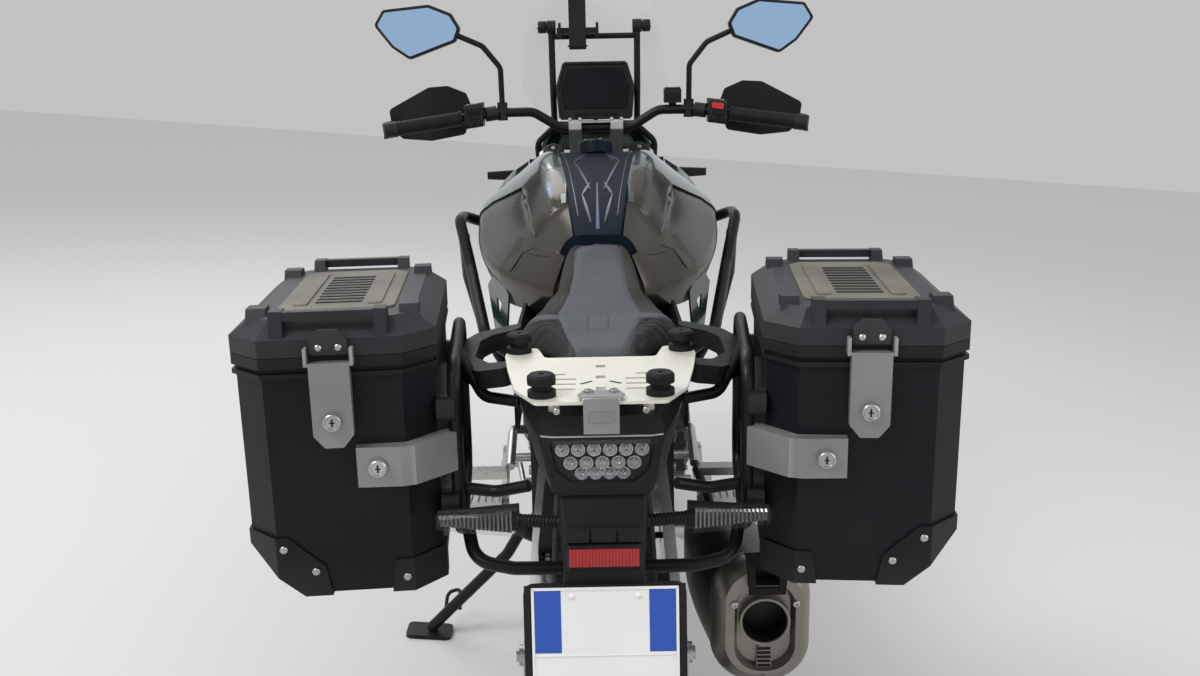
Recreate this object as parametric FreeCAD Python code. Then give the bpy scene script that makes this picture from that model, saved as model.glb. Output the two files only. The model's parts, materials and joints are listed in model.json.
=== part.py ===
import FreeCAD, Part
import math
import os
from FreeCAD import Vector as V

# Adventure touring motorcycle with side cases, parked on its side stand, in millimetres.
# The bike is modelled upright: X to the rider's right, Y forward from the rear axle, Z up from the
# ground. At the end every piece leans to the left onto the stand, and the origin moves to the ground
# below the middle of the leaning bike.

# Chassis
WHEELBASE = 1570.0
RAKE = math.radians(28.0)
TRAIL = 114.0
LEAN = math.radians(5.0)
ORIGIN_X = -96.7
ORIGIN_Y = 746.8
CLEAR = 0.3

# Wheels
REAR_R, REAR_BEAD, REAR_W, REAR_RIM = 321.0, 220.0, 150.0, 100.0
FRONT_R, FRONT_BEAD, FRONT_W, FRONT_RIM = 345.0, 272.0, 92.0, 54.0
RIM_DEPTH = 20.0
SPOKES = 36
SPOKE_R = 2.2
AXLE_R = 10.0
REAR_HUB_HALF = 63.7
FRONT_HUB_HALF = 58.0
DISC_T = 4.5
FRONT_DISC_R = 155.0
REAR_DISC_R = 130.0

# Chain drive
CHAIN_X = -93.0
PITCH = 15.875
REAR_TEETH = 51
FRONT_TEETH = 17
FRONT_SPROCKET = (650.0, 430.0)
ROLLER_R = 5.1
TOOTH_RISE = 4.0
PLATE_HALF = 7.4
LINK_T = 2.0

# Swingarm
ARM_IN, ARM_OUT = 108.0, 130.0
PIVOT = (575.0, 420.0)

# Fork and bars
LEG_X = 107.0
LEG_F = -29.0
UPPER_R = 27.0
LOWER_R = 21.5
LOW_CLAMP_S, TOP_CLAMP_S = 545.0, 765.0
CLAMP_T = 32.0
CLAMP_REACH = 36.0
STEM_R = 16.7
BAR_R = 11.1
BAR_END_X = 480.0

# Exhaust outlet
OUTLET_R = 34.0

# Tail and luggage
RACK_Z = 866.0
RACK_T = 4.0
TOE = math.radians(5.0)
CASE_W, CASE_L = 245.0, 385.0
CASE_LOW, CASE_TOP, LID_TOP = 592.0, 905.0, 948.0
CASE_WALL = 3.0
CASE_CORNER = (208.0, -290.0)
CASE_CHAMFER = 38.0
HINGE_OUT = 7.0
HOOP_R = 9.0

# Side stand
STAND_PIVOT = (-166.0, 560.0, 296.0)
STAND_FOOT = (-385.0, 600.0)
STAND_TILT = math.radians(-25.0)
BOLT_R = 8.0
TREAD_DROP = 0.35

# Clearance that the turning fork needs in the bodywork round it
FORK_SWEEP = 6.0

STEER_OFFSET = FRONT_R * math.sin(RAKE) - TRAIL * math.cos(RAKE)
REAR_AXLE = V(0, 0, REAR_R)
FRONT_AXLE = V(0, WHEELBASE, FRONT_R)

NODES = {}


def on_fork(x, s, f):
    """A point x to the right, s up the steering axis from the front axle and f ahead of the axle."""
    return V(x, WHEELBASE - s * math.sin(RAKE) + f * math.cos(RAKE),
             FRONT_R + s * math.cos(RAKE) + f * math.sin(RAKE))


def outline(points, lift):
    """Closed wire. A point (u, v) is a line to it; a pair ((um, vm), (u, v)) is an arc through the first."""
    ends = [p[-1] if isinstance(p[0], tuple) else p for p in points]
    edges = []
    for i, p in enumerate(points):
        a, b = lift(*ends[i - 1]), lift(*ends[i])
        if isinstance(p[0], tuple):
            edges.append(Part.Arc(a, lift(*p[0]), b).toShape())
        else:
            edges.append(Part.LineSegment(a, b).toShape())
    return Part.Wire(edges)


def rounded(corners, radius):
    """The corners of a polygon with an arc of the given radius, or radii, at each."""
    out = []
    count = len(corners)
    for i, (u, v) in enumerate(corners):
        r = radius[i] if isinstance(radius, (list, tuple)) else radius
        p, q = corners[i - 1], corners[(i + 1) % count]
        a = ((p[0] - u), (p[1] - v))
        b = ((q[0] - u), (q[1] - v))
        la, lb = math.hypot(*a), math.hypot(*b)
        a, b = (a[0] / la, a[1] / la), (b[0] / lb, b[1] / lb)
        half = math.acos(max(-1.0, min(1.0, a[0] * b[0] + a[1] * b[1]))) / 2
        back = min(r / math.tan(half), 0.45 * min(la, lb))
        r = back * math.tan(half)
        mid = ((a[0] + b[0]), (a[1] + b[1]))
        lm = math.hypot(*mid)
        reach = r / math.sin(half) - r
        out.append((u + a[0] * back, v + a[1] * back))
        out.append(((u + mid[0] / lm * reach, v + mid[1] / lm * reach), (u + b[0] * back, v + b[1] * back)))
    return out


LIFT = {
    "x": lambda at: (lambda u, v: V(at, u, v)),
    "y": lambda at: (lambda u, v: V(u, at, v)),
    "z": lambda at: (lambda u, v: V(u, v, at)),
}
WAY = {"x": V(1, 0, 0), "y": V(0, 1, 0), "z": V(0, 0, 1)}


def slab(points, axis, low, high):
    """An outline in the two other coordinates, extruded along axis from low to high."""
    face = Part.Face(outline(points, LIFT[axis](low)))
    return face.extrude(WAY[axis] * (high - low))


def block(x0, x1, y0, y1, z0, z1):
    return Part.makeBox(x1 - x0, y1 - y0, z1 - z0, V(x0, y0, z0))


def rod(a, b, r):
    return Part.makeCylinder(r, (b - a).Length, a, b - a)


def lathe(points, centre):
    """A closed outline of (x, radius) points, turned about the line along X through centre."""
    face = Part.Face(outline(points, lambda x, r: V(centre.x + x, centre.y, centre.z + r)))
    return face.revolve(centre, V(1, 0, 0), 360)


def unit(v):
    return V(v.x, v.y, v.z).normalize()


def path(points, bend):
    """Straight runs joined by tangent arcs of radius bend, or of a list of radii."""
    edges, start = [], points[0]
    for i in range(1, len(points) - 1):
        p = points[i]
        a, b = unit(points[i - 1] - p), unit(points[i + 1] - p)
        half = a.getAngle(b) / 2
        r = bend[i - 1] if isinstance(bend, (list, tuple)) else bend
        room = 0.48 * min((points[i - 1] - p).Length, (points[i + 1] - p).Length)
        back = min(r / math.tan(half), room)
        r = back * math.tan(half)
        middle = p + unit(a + b) * (r / math.sin(half) - r)
        edges.append(Part.LineSegment(start, p + a * back).toShape())
        edges.append(Part.Arc(p + a * back, middle, p + b * back).toShape())
        start = p + b * back
    edges.append(Part.LineSegment(start, points[-1]).toShape())
    return Part.Wire(edges)


def tube(points, r, bend=40.0):
    """A round bar of radius r along the path."""
    spine = path([V(*p) if isinstance(p, tuple) else p for p in points], bend)
    start = spine.Edges[0]
    way = start.tangentAt(start.FirstParameter)
    ring = Part.Wire(Part.Circle(start.valueAt(start.FirstParameter), way, r).toShape())
    return spine.makePipe(Part.Face(ring))


def loft(sections, ruled=False):
    return Part.makeLoft(sections, True, ruled)


def fuse(shapes):
    shapes = list(shapes)
    return shapes[0].fuse(shapes[1:]).removeSplitter() if len(shapes) > 1 else shapes[0]


def largest(shape):
    """The biggest solid of a shape, without the offcuts of a boolean cut."""
    return sorted(shape.Solids, key=lambda part: part.Volume)[-1]


def flip(shape):
    return shape.mirror(V(0, 0, 0), V(1, 0, 0))


def pair(shape):
    return [shape, flip(shape)]


def turned(shape, angle, at, axis):
    copy = shape.copy()
    copy.rotate(at, axis, math.degrees(angle))
    return copy


def add(name, *shapes):
    """Keeps the solids of the shapes as one named piece."""
    solids = NODES.setdefault(name, [])
    for shape in shapes:
        solids.extend(shape.Solids)


# Wheels

def tyre(centre, outer, bead, width, rim, shoulder, tread):
    """A carcass of flat bands: wall, shoulder and a crown in four steps."""
    low = bead + 10
    mid = (low + shoulder) / 2
    crown = outer - (outer - shoulder) * 0.25
    half = [(rim / 2, bead), (rim / 2, low), (width * 0.485, mid - 8), (width / 2, mid + 8),
            (tread / 2, shoulder), (tread / 4, crown)]
    return lathe(half + [(0, outer)] + [(-x, r) for x, r in reversed(half)], centre)


def spoked_wheel(centre, bead, rim, hub_profile, flange_x, flange_r):
    """Rim, hub and crossed wire spokes as one solid."""
    lip, seat = 4.0, bead - CLEAR
    well = bead - RIM_DEPTH
    half = rim / 2 + CLEAR
    hoop = lathe([
        (-half - lip, bead + 9), (-half, bead + 9), (-half, seat), (half, seat), (half, bead + 9),
        (half + lip, bead + 9), (half + lip, bead - 5), (14, well), (-14, well), (-half - lip, bead - 5)],
                 centre)
    hub = lathe(hub_profile, centre)
    spokes = []
    cross = math.radians(32.0)
    for i in range(SPOKES):
        side = 1 if i % 2 else -1
        way = 1 if (i // 2) % 2 else -1
        rim_at = 2 * math.pi * (i + 0.5) / SPOKES
        hub_at = rim_at + way * cross
        inner = centre + V(side * flange_x, flange_r * math.cos(hub_at), flange_r * math.sin(hub_at))
        outer = centre + V(side * 6, (well + 6) * math.cos(rim_at), (well + 6) * math.sin(rim_at))
        spokes.append(rod(inner, outer, SPOKE_R))
    return fuse([hoop, hub] + spokes)


def disc(centre, x0, x1, outer, inner, windows):
    """A brake disc with its carrier windows cut through."""
    plate = lathe([(x0, inner), (x0, outer), (x1, outer), (x1, inner)], centre)
    cuts = []
    for i in range(windows):
        at = 2 * math.pi * i / windows
        spot = centre + V(x0 - 1, outer * 0.56 * math.cos(at), outer * 0.56 * math.sin(at))
        cuts.append(Part.makeCylinder(outer * 0.17, x1 - x0 + 2, spot, V(1, 0, 0)))
    return plate.cut(cuts)


def sprocket(centre, x, teeth, thick, bore):
    """A toothed wheel whose outline repeats root, flank and tip."""
    pitch_r = PITCH / (2 * math.sin(math.pi / teeth))
    root, tip = pitch_r - ROLLER_R, pitch_r + TOOTH_RISE
    points = []
    for i in range(teeth):
        at = 2 * math.pi * i / teeth
        step = 2 * math.pi / teeth
        for share, r in ((0.0, root), (0.3, root + 2), (0.42, tip), (0.58, tip), (0.7, root + 2)):
            a = at + share * step
            points.append((centre.y + r * math.cos(a), centre.z + r * math.sin(a)))
    wheel = slab(points, "x", x - thick / 2, x + thick / 2)
    hole = Part.makeCylinder(bore, thick + 2, V(x - thick / 2 - 1, centre.y, centre.z), V(1, 0, 0))
    return wheel.cut(hole)


def wheels():
    add("rear_tyre", tyre(REAR_AXLE, REAR_R, REAR_BEAD, REAR_W, REAR_RIM, 291, 136))
    add("front_tyre", tyre(FRONT_AXLE, FRONT_R, FRONT_BEAD, FRONT_W, FRONT_RIM, 325, 82))
    bore = AXLE_R + CLEAR
    carrier = CHAIN_X + 3.7
    rear_hub = [
        (carrier, bore), (carrier, 48), (-64, 52), (-60, 66), (-34, 66), (-28, 34), (28, 34), (34, 60),
        (42, 60), (REAR_HUB_HALF, 44), (REAR_HUB_HALF, bore)]
    add("rear_wheel", spoked_wheel(REAR_AXLE, REAR_BEAD, REAR_RIM, rear_hub, 38, 52))
    half = FRONT_HUB_HALF
    front_hub = [
        (-half, bore), (-half, 42), (-40, 50), (-32, 50), (-26, 26), (26, 26), (32, 50), (40, 50),
        (half, 42), (half, bore)]
    add("front_wheel", spoked_wheel(FRONT_AXLE, FRONT_BEAD, FRONT_RIM, front_hub, 36, 42))
    x = FRONT_HUB_HALF + CLEAR
    add("front_discs", *pair(disc(FRONT_AXLE, x, x + DISC_T, FRONT_DISC_R, 26, 9)))
    x = REAR_HUB_HALF + CLEAR
    add("rear_disc", disc(REAR_AXLE, x, x + DISC_T, REAR_DISC_R, 26, 7))
    add("rear_sprocket", sprocket(REAR_AXLE, CHAIN_X, REAR_TEETH, 6.8, 26))


# Drive chain

def clear_of_teeth(y, z):
    """Whether a roller at that place stays outside the tooth tips of both sprockets."""
    for cy, cz, teeth in ((0.0, REAR_R, REAR_TEETH), (*FRONT_SPROCKET, FRONT_TEETH)):
        tip = PITCH / (2 * math.sin(math.pi / teeth)) + TOOTH_RISE
        if math.hypot(y - cy, z - cz) < tip + ROLLER_R + CLEAR:
            return False
    return True


def chain_links():
    """The loop's joints, evenly spaced along two straight runs and the arcs round both sprockets."""
    big = PITCH / (2 * math.sin(math.pi / REAR_TEETH))
    small = PITCH / (2 * math.sin(math.pi / FRONT_TEETH))
    ay, az = 0.0, REAR_R
    by, bz = FRONT_SPROCKET
    gap = math.hypot(by - ay, bz - az)
    tilt = math.atan2(bz - az, by - ay)
    spread = math.acos((big - small) / gap)
    run = math.sqrt(gap ** 2 - (big - small) ** 2)
    wrap_big = (2 * math.pi - 2 * spread) * big
    wrap_small = 2 * spread * small
    total = 2 * run + wrap_big + wrap_small
    count = 2 * round(total / PITCH / 2)
    joints = []
    for i in range(count):
        d = total * i / count
        if d < run:
            free = PITCH < d < run - PITCH
            a = tilt + spread
            start = (ay + big * math.cos(a), az + big * math.sin(a))
            end = (by + small * math.cos(a), bz + small * math.sin(a))
            k = d / run
            joints.append((start[0] + k * (end[0] - start[0]), start[1] + k * (end[1] - start[1]), free))
        elif d < run + wrap_small:
            a = tilt + spread - (d - run) / small
            joints.append((by + small * math.cos(a), bz + small * math.sin(a), False))
        elif d < 2 * run + wrap_small:
            a = tilt - spread
            start = (by + small * math.cos(a), bz + small * math.sin(a))
            end = (ay + big * math.cos(a), az + big * math.sin(a))
            k = (d - run - wrap_small) / run
            free = PITCH < k * run < run - PITCH
            joints.append((start[0] + k * (end[0] - start[0]), start[1] + k * (end[1] - start[1]), free))
        else:
            a = tilt - spread - (d - 2 * run - wrap_small) / big
            joints.append((ay + big * math.cos(a), az + big * math.sin(a), False))
    return joints


def link_band(joints, grow, x0, x1):
    """One row of side plates as a closed band round the joints."""
    middle = (sum(j[0] for j in joints) / len(joints), sum(j[1] for j in joints) / len(joints))
    outer, inner = [], []
    count = len(joints)
    for i in range(count):
        p, q = joints[i - 1], joints[(i + 1) % count]
        t = (q[0] - p[0], q[1] - p[1])
        size = math.hypot(*t)
        n = (-t[1] / size, t[0] / size)
        away = (joints[i][0] - middle[0]) * n[0] + (joints[i][1] - middle[1]) * n[1]
        if away < 0:
            n = (-n[0], -n[1])
        outer.append((joints[i][0] + n[0] * grow, joints[i][1] + n[1] * grow))
        inner.append((joints[i][0] - n[0] * grow, joints[i][1] - n[1] * grow))
    return slab(outer, "x", x0, x1).cut(slab(inner, "x", x0 - 1, x1 + 1))


def drive_chain():
    joints = chain_links()
    inside = 4.2
    bands = [
        link_band(joints, PLATE_HALF, CHAIN_X + inside, CHAIN_X + inside + 2 * LINK_T),
        link_band(joints, PLATE_HALF, CHAIN_X - inside - 2 * LINK_T, CHAIN_X - inside)]
    rollers = [
        slab([(y + ROLLER_R * math.cos(k * math.pi / 3),
               z + ROLLER_R * math.sin(k * math.pi / 3)) for k in range(6)],
             "x", CHAIN_X - inside - 1, CHAIN_X + inside + 1)
        for y, z, straight in joints if straight and clear_of_teeth(y, z)]
    add("drive_chain", fuse(bands + rollers))


# Chassis

def main_frame():
    axis_f = -STEER_OFFSET
    low, high = LOW_CLAMP_S + CLAMP_T / 2 + 6, TOP_CLAMP_S - CLAMP_T / 2 - 6
    a, b = on_fork(0, low, axis_f), on_fork(0, high, axis_f)
    head = rod(a, b, 30)
    spar = tube([(14, 1195, 920), (84, 1084, 868), (140, 1000, 850), (150, 860, 800), (150, 700, 710),
                 (140, 615, 570), (140, 592, 480)], 17, 70)
    down = tube([(14, 1216, 858), (84, 1128, 775), (118, 1118, 600), (118, 1106, 330)], 14, 60)
    seat_post = rod(V(127, 1000, 835), V(127, 1000, 888), 11)
    strut = tube([(118, 1118, 600), (150, 1000, 700), (150, 860, 800)], 11, 40)
    plate = slab(rounded([(520, 560), (640, 560), (650, 470), (625, 330), (560, 285), (520, 330),
                          (535, 430)], 14),
                 "x", ARM_OUT + 3, ARM_OUT + 17)
    py, pz = PIVOT
    hole = Part.makeCylinder(AXLE_R + CLEAR, 40, V(ARM_OUT, py, pz), V(1, 0, 0))
    half = fuse([spar, down, strut, plate, seat_post]).cut(hole)
    beam = tube([on_fork(0, 640, axis_f + 20), on_fork(0, 668, axis_f + 90), on_fork(0, 690, axis_f + 168)],
                12, 40)
    whole = fuse([head, half, flip(half), rod(V(-140, 605, 540), V(140, 605, 540), 14), beam])
    bore = rod(on_fork(0, low - 5, axis_f), on_fork(0, high + 5, axis_f), STEM_R + CLEAR)
    add("main_frame", whole.cut(bore))


def subframe():
    rail = tube([(144, 670, 668), (124, 600, 735), (112, 470, 762), (104, 100, 775), (84, -190, 805)], 11,
                60)
    stay = tube([(140, 618, 582), (128, 450, 640), (112, 120, 730), (101, -40, 774)], 10, 60)
    half = fuse([rail, stay])
    ties = [rod(V(-110, 430, 766), V(110, 430, 766), 9), rod(V(-95, -60, 789), V(95, -60, 789), 9)]
    frame_clear = NODES["main_frame"]
    whole = fuse([half, flip(half)] + ties)
    add("subframe", whole.cut(frame_clear))


def engine():
    recess_y, recess_x = 715.0, -76.0
    case = slab(rounded([(645, 325), (720, 300), (1030, 298), (1085, 350), (1092, 470), (1060, 560),
                         (880, 575), (665, 545), (640, 470)], 22), "x", -112, 118)
    case = case.cut(block(-130, recess_x, 500, recess_y, 250, 600))
    barrels = slab(rounded([(850, 560), (1062, 548), (1090, 700), (870, 725)], 12), "x", -108, 108)
    head = slab(rounded([(862, 722), (1096, 694), (1108, 765), (1062, 800), (900, 805), (866, 770)], 16),
                "x", -122, 122)
    cover = slab(rounded([(885, 800), (1060, 796), (1050, 826), (905, 832)], 10), "x", -108, 108)
    ribs = [slab([(846 + 3 * i, 580 + 26 * i), (1070 + 4 * i, 566 + 26 * i), (1071 + 4 * i, 572 + 26 * i),
                  (847 + 3 * i, 586 + 26 * i)], "x", -114, 114) for i in range(5)]
    clutch = Part.makeCylinder(104, 62, V(118, 780, 435), V(1, 0, 0))
    clutch_cap = Part.makeCone(96, 70, 16, V(180, 780, 435), V(1, 0, 0))
    timing = Part.makeCylinder(74, 46, V(118, 950, 430), V(1, 0, 0))
    timing_cap = Part.makeCone(66, 50, 10, V(164, 950, 430), V(1, 0, 0))
    magneto = Part.makeCylinder(92, 56, V(-112, 950, 430), V(-1, 0, 0))
    magneto_cap = Part.makeCone(84, 62, 18, V(-168, 950, 430), V(-1, 0, 0))
    sump = slab(rounded([(720, 305), (1000, 305), (960, 268), (800, 268)], 14), "x", -20, 75)
    starter = Part.makeCylinder(34, 150, V(-75, 812, 596), V(1, 0, 0))
    bosses = []
    for y, z, ring, count, x0, x1 in ((780, 435, 101, 9, 118, 184), (950, 430, 72, 6, 118, 168),
                                      (950, 430, 89, 8, -172, -112)):
        for i in range(count):
            a = 2 * math.pi * (i + 0.5) / count
            bosses.append(rod(V(x0, y + ring * math.cos(a), z + ring * math.sin(a)),
                              V(x1, y + ring * math.cos(a), z + ring * math.sin(a)), 7.5))
    oil_filter = rod(V(-20, 1080, 420), V(-20, 1142, 408), 34)
    pump = rod(V(-112, 1040, 520), V(-150, 1040, 520), 34)
    pump_neck = tube([(-134, 1040, 528), (-134, 1090, 548), (-128, 1128, 556)], 13, 24)
    flanges = [rod(V(x, 1090, 735), V(x, 1112, 735), 27) for x in (45, -45)]
    plug_caps = [rod(V(x, 975, 826), V(x, 970, 842), 17) for x in (45, -45)]
    motor = fuse([case, barrels, head, cover, clutch, clutch_cap, timing, timing_cap, magneto, magneto_cap,
                  sump, starter, oil_filter, pump, pump_neck] + ribs + bosses + flanges + plug_caps)
    py, pz = FRONT_SPROCKET
    cover_edge = rounded([(622, 346), (705, 346), (724, 430), (705, 508), (622, 508)], 24)
    lid = slab(cover_edge, "x", -124, -106)
    wall = slab(cover_edge, "x", -106, -70)
    inner = block(-107, -60, 560, 703, 362, 492)
    guard = fuse([lid, wall]).cut(inner).cut(block(-107, -60, 560, 645, 340, 520))
    drive = sprocket(V(0, py, pz), CHAIN_X, FRONT_TEETH, 6.8, 6)
    shaft = rod(V(-70, py, pz), V(CHAIN_X - 8, py, pz), 12)
    add("engine", fuse([motor, guard, drive, shaft]).cut(NODES["main_frame"]).cut(NODES["drive_chain"]))


def radiator():
    core = block(-150, 150, 1176, 1196, 546, 706)
    tank_side = slab(rounded([(1170, 536), (1202, 536), (1202, 714), (1170, 714)], 8), "x", 150, 172)
    slats = [block(-150, 150, 1196, 1199, 552 + 16 * i, 556 + 16 * i) for i in range(10)]
    feet = [rod(V(118, 1130, z), V(118, 1178, z), 8) for z in (560, 690)]
    radiator = fuse([core, tank_side, flip(tank_side)] + slats + feet + [flip(f) for f in feet])
    add("radiator", radiator.cut(NODES["main_frame"]))


def skid_plate():
    side = rounded([(745, 226), (1075, 222), (1150, 300), (1150, 420), (1060, 330), (790, 330), (745, 300)],
                   20)
    inner = rounded([(700, 230), (1073, 226), (1146, 302), (1146, 450), (1060, 500), (700, 500)], 20)
    outer = slab(side, "x", -132, 132)
    hollow = slab(inner, "x", -128, 128)
    add("skid_plate", outer.cut(hollow).cut(NODES["main_frame"]).cut(NODES["engine"]))


def swingarm():
    profile = rounded([(612, 448), (560, 462), (320, 430), (60, 362), (-48, 352), (-48, 290), (60, 288),
                       (300, 322), (560, 378), (612, 392)], 16)
    window = rounded([(480, 425), (330, 404), (330, 350), (480, 385)], 14)
    arm = slab(profile, "x", ARM_IN, ARM_OUT).cut(slab(window, "x", ARM_IN - 1, ARM_OUT + 1))
    slot = slab(rounded([(-40, 334), (-18, 334), (-18, 308), (-40, 308)], 6), "x", ARM_IN - 1, ARM_OUT + 1)
    arm = arm.cut(slot)
    brace = slab(rounded([(420, 372), (525, 384), (525, 440), (430, 440)], 14), "x", -ARM_IN, ARM_IN)
    py, pz = PIVOT
    bolt = Part.makeCylinder(AXLE_R, 2 * (ARM_OUT + 24), V(-ARM_OUT - 24, py, pz), V(1, 0, 0))
    axle = Part.makeCylinder(AXLE_R, 2 * (ARM_OUT + 14), V(-ARM_OUT - 14, 0, REAR_R), V(1, 0, 0))
    right = Part.makeCylinder(17, ARM_IN - REAR_HUB_HALF - 1, V(REAR_HUB_HALF + 1, 0, REAR_R), V(1, 0, 0))
    left = Part.makeCylinder(17, ARM_IN - 90.3, V(-ARM_IN, 0, REAR_R), V(1, 0, 0))
    nuts = [Part.makeCylinder(17, 9, V(ARM_OUT, 0, REAR_R), V(1, 0, 0)),
            Part.makeCylinder(17, 9, V(-ARM_OUT - 9, 0, REAR_R), V(1, 0, 0))]
    add("swingarm", fuse([arm, flip(arm), brace, bolt, axle, right, left] + nuts))


def shock_absorber():
    low, high = V(0, 505, 478), V(0, 585, 735)
    way = unit(high - low)
    length = (high - low).Length
    coils, start, pitch = 8, 34.0, 22.0
    profile = [(0, 0), (0, 17), (22, 17), (26, 34), (start, 26)]
    for i in range(coils):
        at = start + i * pitch
        profile.append(((at + pitch / 2, 38), (at + pitch, 26)))
    end = start + coils * pitch
    profile += [(end + 4, 34), (end + 10, 34), (end + 10, 20), (length, 20), (length, 0)]
    side = V(1, 0, 0)
    face = Part.Face(outline(profile, lambda a, r: low + way * a + side * r))
    body = face.revolve(low, way, 360)
    eyes = [rod(low - side * 22, low + side * 22, 15), rod(high - side * 22, high + side * 22, 15)]
    link = slab(rounded([(490, 440), (520, 440), (520, 478), (495, 478)], 4), "x", 24, 32)
    upper = slab(rounded([(570, 720), (600, 720), (600, 760), (570, 760)], 4), "x", 24, 32)
    pins = [rod(low - side * 34, low + side * 34, 6), rod(high - side * 34, high + side * 34, 6)]
    cross = rod(V(-112, 590, 752), V(112, 590, 752), 10)
    add("shock_absorber", fuse([body] + eyes + [link, flip(link), upper, flip(upper), cross] + pins)
        .cut(NODES["swingarm"]).cut(NODES["subframe"]).cut(NODES["main_frame"]))


def exhaust():
    pipes = [tube([(x, 1096, 735), (x, 1128, 700), (x * 0.9, 1128, 420), (x * 0.5 + 40, 1060, 262),
                   (x * 0.2 + 60, 900, 258)],
                  17, 70) for x in (45, -45)]
    mid = tube([(66, 930, 258), (98, 745, 257), (176, 610, 264), (192, 470, 332), (196, 322, 370)], 24, 90)

    def section(y, cx, cz, w, h):
        return outline(rounded([(cx - w / 2, cz - h / 2), (cx + w / 2, cz - h / 2),
                                (cx + w / 2, cz + h / 2), (cx - w / 2, cz + h / 2)], w * 0.46),
                       LIFT["y"](y))
    can = loft([section(328, 198, 372, 92, 112), section(230, 208, 385, 124, 168),
                section(60, 222, 406, 140, 200), section(-70, 234, 424, 140, 204)])
    lug = tube([(196, 215, 440), (188, 235, 492), (174, 322, 512)], 8, 20)
    can = fuse([can, lug]).cut(NODES["footpegs"])
    add("muffler", can)
    headers = fuse(pipes + [mid]).cut(NODES["engine"]).cut(can).cut(NODES["main_frame"])
    add("exhaust_headers", headers)
    cap = loft([section(-70.3, 234, 424, 148, 212), section(-92, 236, 427, 144, 206),
                section(-112, 237, 430, 116, 170)])
    outlet = V(238, -120, 432)
    hole = Part.makeCylinder(OUTLET_R, 60, outlet, V(0, 1, 0))
    sleeve = Part.makeCylinder(OUTLET_R + 4, 30, V(outlet.x, -110, outlet.z), V(0, 1, 0))
    pocket = loft([section(-113, 238, 424, 92, 146), section(-97, 238, 424, 80, 132)])
    scoop = slab(rounded([(212, 484), (264, 484), (268, 560), (208, 560)], 6), "y", -130, -60)
    ramp = slab(rounded([(226, 352), (250, 352), (246, 392), (230, 392)], 5), "y", -106, -90)
    add("muffler_cap", cap.cut(pocket).fuse([sleeve, ramp]).removeSplitter().cut(hole).cut(scoop))


# Crash bar routes on the right side
BAR_TUBE_R = 12.7
BAR_UPPER = [(135, 1078, 858), (240, 1075, 862), (318, 1010, 900), (318, 930, 900), (286, 830, 808),
             (236, 610, 700), (168, 612, 650), (152, 612, 600)]
BAR_LOWER = [(306, 900, 868), (312, 985, 760), (285, 1060, 600), (215, 1100, 455), (132, 1100, 415)]

# Tank and bodywork

TANK_SECTIONS = [
    # y, half width on top, half width at the shoulder, half width below, z top, z shoulder, z below
    (470, 52, 102, 92, 926, 826, 782),
    (600, 78, 198, 176, 990, 842, 778),
    (770, 104, 258, 226, 1038, 872, 786),
    (920, 108, 262, 232, 1046, 930, 800),
    (1025, 96, 222, 196, 1022, 935, 840),
]

# How far the knee panels and the cover, and the green shoulders, stand over the tank's core
SKIN, SHROUD = 5, 9


def tank_wires(grow):
    """The tank's cross-sections, grown outward."""
    wires = []
    for y, top, mid, low, zt, zm, zl in TANK_SECTIONS:
        t, m, w = top + grow, mid + grow, low + grow
        zt, zl = zt + grow, zl - grow
        corners = [(-t, zt), (t, zt), (m, zm), (w, zl), (-w, zl), (-m, zm)]
        wires.append(outline(rounded(corners, [42, 42, 40, 24, 24, 40]), LIFT["y"](y)))
    return wires


def tank():
    core = loft(tank_wires(0))
    tunnel = slab([(-178, 700), (178, 700), (178, 845), (150, 885), (-150, 885), (-178, 845)], "y", 400,
                  1100)
    core = core.cut(tunnel)
    skin = loft(tank_wires(SKIN)).cut(loft(tank_wires(CLEAR))).cut(tunnel)
    # The knee panels fill the flanks behind the green shoulders, and the cover runs down the middle.
    band = [(700, 700), (900, 770), (925, 860), (870, 950), (770, 992), (640, 952), (500, 892), (500, 700)]
    knee_zone = slab(band, "x", 62, 330)
    spine_zone = slab([(-40, 440), (40, 440), (98, 960), (104, 1060), (-104, 1060), (-98, 960)], "z", 800,
                      1100)
    knee = skin.common(knee_zone).cut(spine_zone)
    add("knee_panels", knee, flip(knee))
    add("tank_cover", skin.common(spine_zone.cut(block(-200, 200, 400, 1100, 700, 900))))
    rest_zone = block(62, 330, 560, 1080, 700, 1100).cut(knee_zone)
    shroud_skin = loft(tank_wires(SHROUD)).cut(loft(tank_wires(CLEAR))).cut(tunnel)
    shroud = largest(shroud_skin.common(rest_zone).cut(spine_zone))
    whole = largest(fuse([shroud, fairing()]).cut(core).cut(tube(BAR_UPPER, BAR_TUBE_R + 3, 45)))
    add("tank_shrouds", *pair(whole), *pair(side_trim().cut(loft(tank_wires(SKIN + CLEAR)))))
    add("fuel_tank", core.cut(NODES["main_frame"]))
    cap = rod(V(0, 905, 1044), V(0, 913, 1068), 40)
    add("tank_cover", cap.cut(loft(tank_wires(SKIN + CLEAR))))


FAIRING_SECTIONS = [
    # y, then the outer face's (x, z) at its top, widest line and lower edge
    (955, (236, 955), (266, 918), (238, 856)),
    (1080, (224, 975), (250, 915), (226, 800)),
    (1200, (206, 990), (226, 905), (208, 700)),
    (1322, (182, 1000), (196, 930), (186, 820)),
]
FAIRING_T = 4.0


def fairing():
    """The right side panel that runs from the tank forward beside the radiator, with its boss."""
    wires = []
    for y, top, wide, low in FAIRING_SECTIONS:
        outer = [top, wide, low]
        inner = [(x - FAIRING_T, z) for x, z in reversed(outer)]
        wires.append(outline(outer + inner, LIFT["y"](y)))
    boss = rod(V(160, 1186, 694), V(210, 1186, 716), 9).cut(block(140, 172 + CLEAR, 1160, 1212, 660, 740))
    return fuse([loft(wires, ruled=True), boss])


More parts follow.
